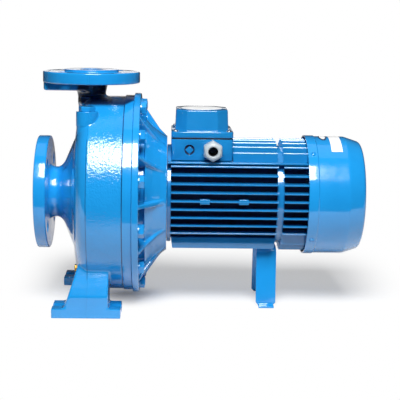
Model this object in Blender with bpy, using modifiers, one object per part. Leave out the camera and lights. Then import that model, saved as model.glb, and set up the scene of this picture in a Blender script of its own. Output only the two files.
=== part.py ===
"""Close-coupled end-suction centrifugal pump with a finned electric motor.

The model is in metres with +Z up. Lengths along the machine are measured from the discharge axis
towards the motor, and the whole machine hangs on one empty that puts the origin under the middle
of its length, on the floor.
"""
import math

import bmesh
import bpy
from mathutils import Matrix, Vector

# Main standard sizes: shaft height, discharge height above the shaft and reach to the suction face
SHAFT_HEIGHT = 0.160
DISCHARGE_RISE = 0.180
SUCTION_REACH = 0.080
SHAFT_R = 0.0095

# Fits and facets
GAP = 0.0003
BITE = 0.002
MERGE = 0.00001
TURN_STEPS = 48
INNER_STEPS = 32
ROUND_STEPS = 24
HOLE_STEPS = 16
ARC_SAG = 0.0005
SHARP_ANGLE = math.radians(32)
FLAT_ANGLE = math.radians(0.1)

# Suction flange, DN 50
SUCTION_BORE_R = 0.025
SUCTION_FLANGE_R = 0.0825
SUCTION_FLANGE_T = 0.017
SUCTION_FACE_R = 0.051
SUCTION_BOLT_CIRCLE_R = 0.0625
FACE_RISE = 0.003
BOLT_HOLE_R = 0.0095
BOLT_HOLES = 4
FLANGE_EDGE_R = 0.0015

# Discharge flange, DN 32, with its neck and the gauge lug under it
DISCHARGE_BORE_R = 0.016
DISCHARGE_FLANGE_R = 0.070
DISCHARGE_FLANGE_T = 0.015
DISCHARGE_FACE_R = 0.039
DISCHARGE_BOLT_CIRCLE_R = 0.050
DISCHARGE_NECK_TOP_R = 0.0225
DISCHARGE_NECK_R = 0.0205
GAUGE_LUG_DEPTH = 0.0125
GAUGE_LUG_WIDTH = 0.044
GAUGE_LUG_INSET = 0.0006

# Volute casing
CASING_R = 0.1415
CASING_FRONT_X = -0.021
SHOULDER_R = 0.0212
NECK_R = 0.037
NECK_CONE_X = -0.045
NECK_CONE_R = 0.0728
CONE_FILLET_R = 0.020
NECK_FILLET_R = 0.008
FLANGE_FILLET_R = 0.004
CASING_FLANGE_X = 0.0498
CASING_FLANGE_R = 0.1425
CAVITY_R = 0.105
CAVITY_X = -0.002
WEAR_RING_R = 0.0288
WEAR_RING_X = -0.0095
REGISTER_R = 0.118
COVER_X = 0.0495
JOINT_X = 0.0629

# Casing feet
FOOT_LENGTH = 0.097
FOOT_INNER_Y = 0.070
FOOT_OUTER_Y = 0.120
FOOT_T = 0.0135
LEG_REAR_X = 0.031
LEG_FRONT_X = -0.0255
LEG_FRONT_TOP_X = -0.0135
LEG_TOP_DROP = 0.074
LEG_INNER_TOP_Y = 0.079
LEG_OUTER_TOP_Y = 0.108
LEG_FILLET_R = 0.009
SLOT_WIDTH = 0.014
SLOT_X = 0.035
SLOT_Y = 0.095
SLOT_ROUND = 0.95
SLOT_FLARE = 0.0003
SLOT_HEADROOM = 0.010

# Priming plug on the shoulder and drain plug low on the front wall
PRIMING_X = -0.001
PRIMING_Y = -0.078
PRIMING_BOSS_R = 0.014
PRIMING_BOSS_LENGTH = 0.039
PRIMING_BORE_R = 0.0085
PRIMING_BORE_DEPTH = 0.012
PLUG_HEAD_R = 0.0115
PLUG_HEAD_T = 0.007
DRAIN_DROP = 0.115
DRAIN_HEAD_R = 0.0055
DRAIN_HEAD_T = 0.004
DRAIN_SHANK_R = 0.004
DRAIN_SHANK_DEPTH = 0.008

# Impeller and its nut
IMPELLER_R = 0.098
SHROUD_T = 0.004
SHROUD_FRONT_X = 0.014
SHROUD_BACK_X = 0.036
EYE_R = 0.0245
EYE_WALL = 0.0035
EYE_X = -0.008
HUB_R = 0.018
HUB_FRONT_X = 0.004
HUB_FLARE = 0.006
EYE_FLARE = 0.005
EYE_FLARE_X = 0.012
EYE_FOOT_X = 0.006
VANES = 6
VANE_T = 0.0035
VANE_INNER_R = 0.019
VANE_SWEEP = math.radians(95)
VANE_POINTS = 9
NUT_R = 0.0105
NUT_LENGTH = 0.016
NUT_BORE_DEPTH = 0.010
NUT_NOSE_R = 0.006
STUB_R = 0.0072

# Lantern bracket between casing and motor
LANTERN_FLANGE_R = 0.1445
LANTERN_FLANGE_T = 0.0095
LANTERN_END_X = 0.1107
LANTERN_END_R = 0.084
PANEL_R = 0.112
POCKET_LENGTH = 0.008
POCKET_R = 0.104
RIBS = 12
RIB_T = 0.006
RIB_ROOT_R = 0.137
RIB_WAIST_X = 0.0995
RIB_WAIST_R = 0.0952
RIB_WAIST_FILLET_R = 0.030
RIB_FOOT_R = 0.070

# Motor frame with its fins
CORE_R = 0.072
FRONT_FINS_X = 0.117
GROOVE_X = 0.2690
GROOVE_END_X = 0.2772
FRAME_END_X = 0.312
FIN_TIP_R = 0.0825
FIN_PITCH = 0.012
FIN_ROOT_T = 0.0036
FIN_T = 0.0026
RAIL_Z = 0.05275
RAIL_T = 0.0025
RAIL_INNER_Y = 0.040
RAIL_OUTER_Y = 0.0645
BASE_PAD_HALF_WIDTH = 0.050
BASE_PAD_DROP = 0.073
BASE_PAD_T = 0.016
SIDE_PAD_X = (0.1647, 0.2198)
SIDE_PAD_LENGTH = 0.014
SIDE_PAD_HEIGHT = 0.007

# Rear end shield, cooling fan and fan cover
SHIELD_T = 0.008
SHIELD_R = 0.079
BEARING_BOSS_R = 0.030
BEARING_BOSS_T = 0.008
SHIELD_LUGS = 4
LUG_WIDTH = 0.014
FAN_STANDOFF = 0.026
FAN_HUB_R = 0.019
FAN_HUB_LENGTH = 0.026
FAN_DISC_T = 0.0025
FAN_R = 0.068
FAN_BLADES = 7
FAN_BLADE_T = 0.0025
FAN_BLADE_LENGTH = 0.022
COVER_LIP_LENGTH = 0.014
COVER_LIP_R = 0.0874
COVER_R = 0.0863
COVER_BARREL_LENGTH = 0.0573
COVER_LENGTH = 0.0811
COVER_END_R = 0.0765
COVER_T = 0.002
COVER_EDGE_R = 0.006
COVER_TAPER_R = 0.015
GRILLE_RINGS = 5
GRILLE_INNER_R = 0.014
GRILLE_OUTER_R = 0.068
GRILLE_BAR = 0.0035
GRILLE_SECTORS = 4
SLOT_STEPS = 3

# Terminal box
BOX_X = 0.1164
BOX_LENGTH = 0.0886
BOX_HALF_WIDTH = 0.050
BOX_SEAT_RISE = 0.055
BOX_BASE_HEIGHT = 0.030
BOX_CORNER_R = 0.006
GASKET_T = 0.0015
GASKET_INSET = 0.001
LID_FLANGE_T = 0.0085
LID_X = 0.122
LID_LENGTH = 0.0765
LID_HALF_WIDTH = 0.045
LID_CORNER = 0.016
LID_RAISE = 0.0299
LID_DRAFT = 0.0015

# Cable gland and blanked entry on the near side of the terminal box
ENTRY_HEIGHT = 0.015
BLANK_X = 0.1425
BLANK_R = 0.0075
BLANK_DEPTH = 0.004
BLANK_PLUG_T = 0.002
GLAND_X = 0.1755
GLAND_BORE_R = 0.0065
GLAND_SHANK_R = 0.0095
GLAND_SHANK_DEPTH = 0.010
GLAND_HEX_R = 0.0145
GLAND_HEX_LENGTH = 0.006
GLAND_NUT_R = 0.0145
GLAND_NUT_END_R = 0.0105
GLAND_NUT_LENGTH = 0.018
GLAND_NUT_TAPER = 0.007
GLAND_NUT_EDGE_R = 0.001
GLAND_NUT_SHOULDER_R = 0.004
SEAL_WALL = 0.002
SEAL_LENGTH = 0.010

# Motor stand, a bent strip
STAND_X = 0.2575
STAND_T = 0.003
STAND_WIDTH_END = 0.0285
STAND_WIDTH_MID = 0.032
STAND_TAB_WIDTH = 0.0225
STAND_TOP_HALF_SPREAD = 0.032
STAND_FLOOR_HALF_SPREAD = 0.042
STAND_TAB_LENGTH = 0.014
STAND_BEND_R = 0.008

# Heights and stations that follow from the sizes above
SUCTION_FACE_X = -SUCTION_REACH
SUCTION_RIM_X = SUCTION_FACE_X + FACE_RISE
SUCTION_BACK_X = SUCTION_RIM_X + SUCTION_FLANGE_T
DISCHARGE_FACE_Z = SHAFT_HEIGHT + DISCHARGE_RISE
DISCHARGE_RIM_Z = DISCHARGE_FACE_Z - FACE_RISE
DISCHARGE_BACK_Z = DISCHARGE_RIM_Z - DISCHARGE_FLANGE_T
LANTERN_X = JOINT_X + GAP
LANTERN_BACK_X = JOINT_X + LANTERN_FLANGE_T
FRAME_X = LANTERN_END_X + GAP
FIN_BANK_HALF_WIDTH = CORE_R * math.sin(math.pi / 4) - FIN_ROOT_T / 2
FINS_EACH_WAY = int(FIN_BANK_HALF_WIDTH / FIN_PITCH)
SHIELD_X = FRAME_END_X + GAP
FAN_X = FRAME_END_X + FAN_STANDOFF
COVER_LIP_X = FRAME_END_X - GAP
COVER_TAPER_X = COVER_LIP_X + COVER_BARREL_LENGTH
COVER_END_X = COVER_LIP_X + COVER_LENGTH
LEG_TOP_Z = SHAFT_HEIGHT - LEG_TOP_DROP
PRIMING_SIDE_Y = -PRIMING_Y - PLUG_HEAD_R
PRIMING_TOP_Z = SHAFT_HEIGHT + math.sqrt(CASING_R ** 2 - PRIMING_SIDE_Y ** 2) + GAP
BASE_PAD_BOTTOM_Z = SHAFT_HEIGHT - BASE_PAD_DROP
BOX_END_X = BOX_X + BOX_LENGTH
BOX_BOTTOM_Z = SHAFT_HEIGHT + BOX_SEAT_RISE
BOX_BASE_TOP_Z = BOX_BOTTOM_Z + BOX_BASE_HEIGHT
ENTRY_Z = BOX_BOTTOM_Z + ENTRY_HEIGHT
LID_FLANGE_Z = BOX_BASE_TOP_Z + GASKET_T + 2 * GAP
LID_Z = LID_FLANGE_Z + LID_FLANGE_T
LID_TOP_Z = LID_Z + LID_RAISE
SHAFT_FRONT_X = HUB_FRONT_X - NUT_BORE_DEPTH + GAP
SHAFT_END_X = FAN_X + FAN_HUB_LENGTH - BITE
MIDDLE_X = (COVER_END_X + SUCTION_FACE_X) / 2
TO_SHAFT = Matrix.Translation((0, 0, SHAFT_HEIGHT)) @ Matrix.Rotation(math.pi / 2, 4, "Y")


def clear_scene():
    """Remove every object that the file opened with."""
    for old in list(bpy.data.objects):
        bpy.data.objects.remove(old, do_unlink=True)


clear_scene()
PARTS = bpy.data.collections.new("centrifugal_pump")
CUTTERS = bpy.data.collections.new("cutters")
for collection in (PARTS, CUTTERS):
    bpy.context.scene.collection.children.link(collection)
ROOT = bpy.data.objects.new("pump_centre", None)
ROOT.location = (-MIDDLE_X, 0, 0)
PARTS.objects.link(ROOT)


def make_material(name, colour, roughness, metallic=0.0):
    """A Principled material with one linear colour."""
    material = bpy.data.materials.new(name)
    material.use_nodes = True
    shader = material.node_tree.nodes["Principled BSDF"]
    shader.inputs["Base Color"].default_value = (*colour, 1.0)
    shader.inputs["Roughness"].default_value = roughness
    shader.inputs["Metallic"].default_value = metallic
    return material


def add_object(name, data):
    """An object in the parts collection, hung on the machine's centre."""
    item = bpy.data.objects.new(name, data)
    PARTS.objects.link(item)
    item.parent = ROOT
    return item


def rounded(corners, closed=True):
    """Outline points from (x, y, radius) corners, with an arc wherever the radius isn't zero."""
    points = []
    last = len(corners) - 1
    for index, (x, y, radius) in enumerate(corners):
        corner = Vector((x, y))
        if radius == 0 or (not closed and index in (0, last)):
            points.append(corner)
            continue
        before = (Vector(corners[index - 1][:2]) - corner).normalized()
        after = (Vector(corners[(index + 1) % (last + 1)][:2]) - corner).normalized()
        half = before.angle(after) / 2
        centre = corner + (before + after).normalized() * radius / math.sin(half)
        start = corner + before * radius / math.tan(half) - centre
        end = corner + after * radius / math.tan(half) - centre
        sweep = math.copysign(math.pi - 2 * half, start.x * end.y - start.y * end.x)
        facet = 2 * math.acos(1 - min(ARC_SAG / radius, 1))
        steps = max(1, math.ceil(abs(sweep) / facet))
        for step in range(steps + 1):
            turn = sweep * step / steps
            x_turned = start.x * math.cos(turn) - start.y * math.sin(turn)
            y_turned = start.x * math.sin(turn) + start.y * math.cos(turn)
            points.append(centre + Vector((x_turned, y_turned)))
    return points


def sharp_corners(*points):
    """Corners with no radius, ready to mix with rounded ones."""
    return [(x, y, 0) for x, y in points]


def turned(name, outline, place=TO_SHAFT, steps=TURN_STEPS):
    """A solid turned about its own Z axis from (radius, height) points down its outer side."""
    mesh = bpy.data.meshes.new(name)
    edges = [(i, i + 1) for i in range(len(outline) - 1)]
    if outline[0][0] > MERGE:
        edges.append((len(outline) - 1, 0))
    mesh.from_pydata([(radius, 0, height) for radius, height in outline], edges, [])
    item = add_object(name, mesh)
    item.matrix_local = place
    screw = item.modifiers.new("Turn", "SCREW")
    screw.axis = "Z"
    screw.steps = steps
    screw.render_steps = steps
    screw.use_merge_vertices = True
    screw.merge_threshold = MERGE
    return item


def prism(name, outlines, thickness, place=Matrix()):
    """A flat outline in local XY, with holes after it, as thick as given about local Z zero."""
    curve = bpy.data.curves.new(name, "CURVE")
    curve.dimensions = "2D"
    curve.fill_mode = "BOTH"
    curve.extrude = thickness / 2
    for outline in outlines:
        spline = curve.splines.new("POLY")
        spline.points.add(len(outline) - 1)
        for point, (x, y) in zip(spline.points, outline):
            point.co = (x, y, 0, 1)
        spline.use_cyclic_u = True
    drawn = add_object(name, curve)
    mesh = evaluated_mesh(drawn)
    bpy.data.objects.remove(drawn)
    shape = bmesh.new()
    shape.from_mesh(mesh)
    bmesh.ops.remove_doubles(shape, verts=shape.verts, dist=MERGE)
    bmesh.ops.recalc_face_normals(shape, faces=shape.faces)
    bmesh.ops.dissolve_limit(shape, angle_limit=FLAT_ANGLE, verts=shape.verts,
                             edges=shape.edges)
    shape.to_mesh(mesh)
    shape.free()
    item = add_object(name, mesh)
    item.matrix_local = place
    return item


def cylinders(name, radius, depth, places, sides=ROUND_STEPS):
    """Round bars in one mesh, each centred on its place and along that place's Z axis."""
    shape = bmesh.new()
    for place in places:
        bmesh.ops.create_cone(shape, cap_ends=True, segments=sides, radius1=radius,
                              radius2=radius, depth=depth, matrix=place)
    mesh = bpy.data.meshes.new(name)
    shape.to_mesh(mesh)
    shape.free()
    return add_object(name, mesh)


def box(name, low, high):
    """A box between two opposite corners."""
    size = [b - a for a, b in zip(low, high)]
    middle = [(a + b) / 2 for a, b in zip(low, high)]
    shape = bmesh.new()
    bmesh.ops.create_cube(shape, size=1)
    bmesh.ops.scale(shape, vec=size, verts=shape.verts)
    bmesh.ops.translate(shape, vec=middle, verts=shape.verts)
    mesh = bpy.data.meshes.new(name)
    shape.to_mesh(mesh)
    shape.free()
    return add_object(name, mesh)


def copies(name, source, places):
    """One mesh that holds a copy of a piece at each place; the piece itself goes."""
    pattern = evaluated_mesh(source)
    shape = bmesh.new()
    for place in places:
        known = len(shape.verts)
        shape.from_mesh(pattern)
        shape.verts.ensure_lookup_table()
        bmesh.ops.transform(shape, matrix=place, verts=shape.verts[known:])
    mesh = bpy.data.meshes.new(name)
    shape.to_mesh(mesh)
    shape.free()
    bpy.data.objects.remove(source)
    return add_object(name, mesh)


def evaluated_mesh(item):
    """A new mesh of an object as the viewport shows it, in the object's own frame."""
    bpy.context.view_layer.update()
    graph = bpy.context.evaluated_depsgraph_get()
    return bpy.data.meshes.new_from_object(item.evaluated_get(graph))


def combine(item, tools, operation):
    """Join or cut an object with others, which become hidden cutters."""
    for tool in tools:
        step = item.modifiers.new(tool.name, "BOOLEAN")
        step.operation = operation
        step.object = tool
        tool.hide_render = True
        tool.display_type = "WIRE"
        PARTS.objects.unlink(tool)
        CUTTERS.objects.link(tool)
    return item


def join(item, *tools):
    return combine(item, tools, "UNION")


def cut(item, *tools):
    return combine(item, tools, "DIFFERENCE")


def finish(item, name, material):
    """Name a piece, settle its modifiers into its mesh, and shade it smooth between edges."""
    mesh = evaluated_mesh(item)
    item.modifiers.clear()
    item.data = mesh
    item.name = name
    mesh.name = name
    mesh.materials.clear()
    mesh.materials.append(material)
    mesh.shade_smooth()
    mesh.set_sharp_from_angle(angle=SHARP_ANGLE)
    return item


def around_shaft(angle, radius=0.0, station=0.0):
    """A place on the shaft's circle: angle from upright, Z axis along the shaft."""
    return (Matrix.Translation((0, 0, SHAFT_HEIGHT)) @ Matrix.Rotation(angle, 4, "X")
            @ Matrix.Translation((station, 0, radius)) @ Matrix.Rotation(math.pi / 2, 4, "Y"))


def ring_places(count, radius, station, start):
    """Places evenly round the shaft."""
    return [around_shaft(start + math.tau * i / count, radius, station) for i in range(count)]


def flange_outline(face_r, rim_r, neck_r, face, rim, back, fillet_r):
    """The outer side of a raised-face flange, from its back to its face."""
    return [(neck_r, back, fillet_r), (rim_r, back, FLANGE_EDGE_R), (rim_r, rim, FLANGE_EDGE_R),
            (face_r, rim, 0), (face_r, face, 0)]


def casing_body():
    """The turned body of the casing with suction neck, flange, bore and impeller chamber."""
    outer = [(CASING_FLANGE_R, JOINT_X, 0), (CASING_FLANGE_R, CASING_FLANGE_X, 0),
             (CASING_R, CASING_FLANGE_X, 0), (CASING_R, CASING_FRONT_X, SHOULDER_R),
             (NECK_CONE_R, CASING_FRONT_X, CONE_FILLET_R),
             (NECK_R, NECK_CONE_X, NECK_FILLET_R)]
    outer += flange_outline(SUCTION_FACE_R, SUCTION_FLANGE_R, NECK_R, SUCTION_FACE_X,
                            SUCTION_RIM_X, SUCTION_BACK_X, FLANGE_FILLET_R)
    inner = sharp_corners((SUCTION_BORE_R, SUCTION_FACE_X), (SUCTION_BORE_R, WEAR_RING_X),
                          (WEAR_RING_R, WEAR_RING_X), (WEAR_RING_R, CAVITY_X),
                          (CAVITY_R, CAVITY_X), (CAVITY_R, COVER_X), (REGISTER_R, COVER_X),
                          (REGISTER_R, JOINT_X))
    return turned("casing_body", rounded(outer + inner))


def discharge_neck():
    """The upright neck with its flange, ending inside the casing wall."""
    foot = SHAFT_HEIGHT + CAVITY_R + BITE
    outline = [(0, DISCHARGE_FACE_Z, 0), (DISCHARGE_FACE_R, DISCHARGE_FACE_Z, 0),
               (DISCHARGE_FACE_R, DISCHARGE_RIM_Z, 0),
               (DISCHARGE_FLANGE_R, DISCHARGE_RIM_Z, FLANGE_EDGE_R),
               (DISCHARGE_FLANGE_R, DISCHARGE_BACK_Z, FLANGE_EDGE_R),
               (DISCHARGE_NECK_TOP_R, DISCHARGE_BACK_Z, FLANGE_FILLET_R),
               (DISCHARGE_NECK_R, SHAFT_HEIGHT + CASING_R, 0),
               (DISCHARGE_NECK_R, foot, 0), (0, foot, 0)]
    return turned("discharge_neck", rounded(outline, closed=False), Matrix(), INNER_STEPS)


def gauge_lug():
    """The lug under the discharge flange, from the neck out to the rim on the suction side."""
    rim = DISCHARGE_FLANGE_R - GAUGE_LUG_INSET
    half = math.asin(GAUGE_LUG_WIDTH / 2 / rim)
    outline = [(rim * math.cos(math.pi + half * k / 2), rim * math.sin(math.pi + half * k / 2))
               for k in range(-2, 3)]
    outline += [(-BITE, -GAUGE_LUG_WIDTH / 2), (-BITE, GAUGE_LUG_WIDTH / 2)]
    height = GAUGE_LUG_DEPTH + BITE
    middle = DISCHARGE_BACK_Z + BITE - height / 2
    return prism("gauge_lug", [outline], height, Matrix.Translation((0, 0, middle)))


def foot_plate(side):
    """One foot plate on the floor."""
    ends = sorted((side * FOOT_INNER_Y, side * FOOT_OUTER_Y))
    return box(f"foot_plate{side}", (-FOOT_LENGTH / 2, ends[0], 0),
               (FOOT_LENGTH / 2, ends[1], FOOT_T))


def foot_slots():
    """Bolt slots, open at both ends of each foot, with room above them for the bolt heads."""
    round_r = SLOT_WIDTH / 2
    inner = SLOT_X - round_r
    mouth = FOOT_LENGTH / 2 + BITE
    outline = rounded([(mouth, -round_r - SLOT_FLARE, 0), (mouth, round_r + SLOT_FLARE, 0),
                       (inner, round_r, round_r * SLOT_ROUND),
                       (inner, -round_r, round_r * SLOT_ROUND)])
    slot = prism("slot", [outline], FOOT_T + 2 * SLOT_HEADROOM)
    places = [Matrix.Translation((0, side * SLOT_Y, FOOT_T / 2)) @ Matrix.Rotation(turn, 4, "Z")
              for side in (-1, 1) for turn in (0, math.pi)]
    return copies("foot_slots", slot, places)


def foot_leg(side):
    """The leg between a foot plate and the casing, leaning in towards its top."""
    slope = (LEG_FRONT_TOP_X - LEG_FRONT_X) / (LEG_TOP_Z - FOOT_T)
    low = FOOT_T - BITE
    outline = rounded([(LEG_REAR_X, low, 0), (LEG_REAR_X, LEG_TOP_Z, 0),
                       (LEG_FRONT_TOP_X, LEG_TOP_Z, 0),
                       (LEG_FRONT_X - slope * BITE, low + BITE, LEG_FILLET_R),
                       (LEG_FRONT_X - LEG_FILLET_R, low + BITE, 0),
                       (LEG_FRONT_X - LEG_FILLET_R, low, 0)])
    leg = prism(f"foot_leg{side}", [outline], 1.0)
    leg.data.transform(Matrix.Rotation(math.pi / 2, 4, "X"))
    for vertex in leg.data.vertices:
        rise = (vertex.co.z - low) / (LEG_TOP_Z - low)
        outward = vertex.co.y * side > 0
        foot = FOOT_OUTER_Y - GAP if outward else FOOT_INNER_Y + GAP
        top = LEG_OUTER_TOP_Y if outward else LEG_INNER_TOP_Y
        vertex.co.y = side * (foot + (top - foot) * rise)
    return leg


def bolt_hole_cutters():
    """Bolt holes of the two pipe flanges, astride the main planes."""
    quarter = math.pi / BOLT_HOLES
    suction = ring_places(BOLT_HOLES, SUCTION_BOLT_CIRCLE_R,
                          (SUCTION_RIM_X + SUCTION_BACK_X) / 2, quarter)
    discharge = []
    for i in range(BOLT_HOLES):
        angle = quarter + math.tau * i / BOLT_HOLES
        discharge.append(Matrix.Translation((DISCHARGE_BOLT_CIRCLE_R * math.cos(angle),
                                             DISCHARGE_BOLT_CIRCLE_R * math.sin(angle),
                                             (DISCHARGE_RIM_Z + DISCHARGE_BACK_Z) / 2)))
    holes = cylinders("suction_holes", BOLT_HOLE_R, SUCTION_FLANGE_T + 2 * BITE, suction, HOLE_STEPS)
    more = cylinders("discharge_holes", BOLT_HOLE_R, DISCHARGE_FLANGE_T + 2 * BITE, discharge,
                     HOLE_STEPS)
    return holes, more


def volute_casing(paint):
    body = casing_body()
    join(body, discharge_neck(), gauge_lug())
    for side in (-1, 1):
        join(body, foot_plate(side), foot_leg(side))
    boss_z = PRIMING_TOP_Z - PRIMING_BOSS_LENGTH / 2
    boss_place = Matrix.Translation((PRIMING_X, PRIMING_Y, boss_z))
    join(body, cylinders("priming_boss", PRIMING_BOSS_R, PRIMING_BOSS_LENGTH, [boss_place]))
    bore_foot = SHAFT_HEIGHT + CAVITY_R - DISCHARGE_BORE_R
    bore_length = DISCHARGE_FACE_Z + BITE - bore_foot
    bore_place = Matrix.Translation((0, 0, bore_foot + bore_length / 2))
    bore = cylinders("discharge_bore", DISCHARGE_BORE_R, bore_length, [bore_place])
    plug_place = Matrix.Translation((PRIMING_X, PRIMING_Y, PRIMING_TOP_Z))
    plug_hole = cylinders("priming_hole", PRIMING_BORE_R, 2 * PRIMING_BORE_DEPTH, [plug_place])
    drain_place = around_shaft(math.pi, DRAIN_DROP, CASING_FRONT_X)
    drain_hole = cylinders("drain_hole", DRAIN_SHANK_R + GAP, 2 * DRAIN_SHANK_DEPTH,
                           [drain_place], HOLE_STEPS)
    cut(body, foot_slots(), bore, plug_hole, drain_hole, *bolt_hole_cutters())
    return finish(body, "volute_casing", paint)


def priming_plug(paint):
    """Hexagon-headed plug in the boss on the shoulder."""
    head_z = PRIMING_TOP_Z + GAP + PLUG_HEAD_T / 2
    head = cylinders("priming_plug", PLUG_HEAD_R, PLUG_HEAD_T,
                     [Matrix.Translation((PRIMING_X, PRIMING_Y, head_z))], 6)
    shank_length = PRIMING_BORE_DEPTH - BITE / 2
    shank_z = PRIMING_TOP_Z + BITE / 2 - shank_length / 2
    shank = cylinders("priming_shank", PRIMING_BORE_R - GAP, shank_length,
                      [Matrix.Translation((PRIMING_X, PRIMING_Y, shank_z))])
    return finish(join(head, shank), "priming_plug", paint)


def drain_plug(brass):
    """Small brass plug low on the front wall."""
    head_x = CASING_FRONT_X - GAP - DRAIN_HEAD_T / 2
    head = cylinders("drain_plug", DRAIN_HEAD_R, DRAIN_HEAD_T,
                     [around_shaft(math.pi, DRAIN_DROP, head_x)], 6)
    shank_length = DRAIN_SHANK_DEPTH - BITE / 2
    shank_x = CASING_FRONT_X - BITE / 2 + shank_length / 2
    shank = cylinders("drain_shank", DRAIN_SHANK_R, shank_length,
                      [around_shaft(math.pi, DRAIN_DROP, shank_x)], HOLE_STEPS)
    return finish(join(head, shank), "drain_plug", brass)


def vane_outline():
    """One backward-curved vane, thick about a spiral from the hub to the rim."""
    inner = []
    outer = []
    tip = IMPELLER_R - GAP
    for step in range(VANE_POINTS):
        share = step / (VANE_POINTS - 1)
        radius = VANE_INNER_R + (tip - VANE_INNER_R) * share
        angle = VANE_SWEEP * math.sqrt(share)
        across = VANE_T / 2 / radius
        inner.append((radius * math.cos(angle - across), radius * math.sin(angle - across)))
        outer.append((radius * math.cos(angle + across), radius * math.sin(angle + across)))
    return inner + outer[::-1]


def impeller(iron):
    """Closed impeller: back shroud with hub, front shroud with eye, and the vanes between."""
    bore_r = SHAFT_R + GAP
    back_end = SHROUD_BACK_X + SHROUD_T
    back = turned("impeller", [(IMPELLER_R, back_end), (IMPELLER_R, SHROUD_BACK_X),
                               (HUB_R + HUB_FLARE, SHROUD_BACK_X), (HUB_R, SHROUD_FRONT_X),
                               (HUB_R, HUB_FRONT_X), (bore_r, HUB_FRONT_X), (bore_r, back_end)],
                  steps=INNER_STEPS)
    front_end = SHROUD_FRONT_X + SHROUD_T
    eye_outer = EYE_R + EYE_WALL
    front = turned("front_shroud", [(IMPELLER_R, front_end), (IMPELLER_R, SHROUD_FRONT_X),
                                    (eye_outer + HUB_FLARE, SHROUD_FRONT_X),
                                    (eye_outer, EYE_FOOT_X), (eye_outer, EYE_X),
                                    (EYE_R, EYE_X), (EYE_R, EYE_FLARE_X),
                                    (EYE_R + EYE_FLARE, front_end)], steps=INNER_STEPS)
    length = SHROUD_BACK_X - SHROUD_FRONT_X
    vane = prism("vane", [vane_outline()], length)
    middle = SHROUD_FRONT_X + SHROUD_T / 2 + length / 2
    vanes = copies("vanes", vane, [around_shaft(math.tau * i / VANES, 0.0, middle)
                                   for i in range(VANES)])
    return finish(join(back, front, vanes), "impeller", iron)


def impeller_nut(steel):
    """Cap nut that holds the impeller on the shaft end."""
    rear = HUB_FRONT_X - GAP
    nose = rear - NUT_LENGTH
    bore_r = STUB_R + GAP
    hole_end = rear - NUT_BORE_DEPTH
    outline = rounded([(0, hole_end, 0), (bore_r, hole_end, 0), (bore_r, rear, 0),
                       (NUT_R, rear, 0), (NUT_R, nose, NUT_NOSE_R), (0, nose, 0)], closed=False)
    return finish(turned("impeller_nut", outline, steps=ROUND_STEPS), "impeller_nut", steel)


def pump_shaft(steel):
    """One shaft from the impeller nut to the fan, stepped down inside the nut."""
    outline = [(0, SHAFT_END_X), (SHAFT_R, SHAFT_END_X), (SHAFT_R, HUB_FRONT_X - GAP / 2),
               (STUB_R, HUB_FRONT_X - GAP / 2), (STUB_R, SHAFT_FRONT_X), (0, SHAFT_FRONT_X)]
    return finish(turned("pump_shaft", outline, steps=ROUND_STEPS), "pump_shaft", steel)


def rib_outline():
    """Web from inside the lantern's flange down to its small end."""
    root = LANTERN_BACK_X - BITE
    end = LANTERN_END_X - BITE / 2
    return rounded([(root, RIB_FOOT_R, 0), (root, RIB_ROOT_R, 0),
                    (RIB_WAIST_X, RIB_WAIST_R, RIB_WAIST_FILLET_R),
                    (end, LANTERN_END_R + 2 * GAP, 0), (end, RIB_FOOT_R, 0)])


def lantern_bracket(paint):
    """Turned cone with a flange and casing cover, and the ribs round it."""
    pocket_x = LANTERN_BACK_X + POCKET_LENGTH
    cover_r = REGISTER_R - GAP
    bore_r = SHAFT_R + GAP
    outline = [(LANTERN_END_R, LANTERN_END_X, 0), (LANTERN_END_R, LANTERN_END_X - BITE, 0),
               (PANEL_R, pocket_x, 0), (POCKET_R, pocket_x, 0), (POCKET_R, LANTERN_BACK_X, 0),
               (LANTERN_FLANGE_R, LANTERN_BACK_X, FLANGE_EDGE_R), (LANTERN_FLANGE_R, LANTERN_X, 0),
               (cover_r, LANTERN_X, 0), (cover_r, COVER_X + GAP, 0), (bore_r, COVER_X + GAP, 0),
               (bore_r, LANTERN_END_X, 0)]
    body = turned("lantern_bracket", rounded(outline))
    rib = prism("rib", [rib_outline()], RIB_T)
    places = []
    for i in range(RIBS):
        turn = Matrix.Rotation(math.tau * i / RIBS, 4, "X") @ Matrix.Rotation(math.pi / 2, 4, "X")
        places.append(Matrix.Translation((0, 0, SHAFT_HEIGHT)) @ turn)
    return finish(join(body, copies("ribs", rib, places)), "lantern_bracket", paint)


def fin_row(core_r):
    """Outline points of one side's fins, across the fin direction, from low to high."""
    row = []
    for k in range(-FINS_EACH_WAY, FINS_EACH_WAY + 1):
        middle = k * FIN_PITCH
        tip = math.sqrt(FIN_TIP_R ** 2 - middle ** 2)
        for edge in (-1, 1):
            across = middle + edge * FIN_ROOT_T / 2
            root = math.sqrt(core_r ** 2 - across ** 2)
            flank = [(root, across), (tip, middle + edge * FIN_T / 2)]
            row += flank[::-edge]
    return row


def fin_section(core_r, with_bottom):
    """Cross-section of the finned frame, with Y to the right and height above the shaft."""
    row = fin_row(core_r)
    right = [(out, across) for out, across in row]
    top = [(-across, out) for out, across in row]
    left = [(-out, -across) for out, across in row]
    bottom = [(across, -out) for out, across in row]
    if not with_bottom:
        bottom = []
    return right + top + left + bottom


def shaft_section(name, outline, low, high):
    """A prism along the shaft from a cross-section in (Y, height above the shaft)."""
    across = Matrix(((0, 0, 1, 0), (1, 0, 0, 0), (0, 1, 0, 0), (0, 0, 0, 1)))
    place = Matrix.Translation(((low + high) / 2, 0, SHAFT_HEIGHT)) @ across
    return prism(name, [outline], high - low, place)


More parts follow.
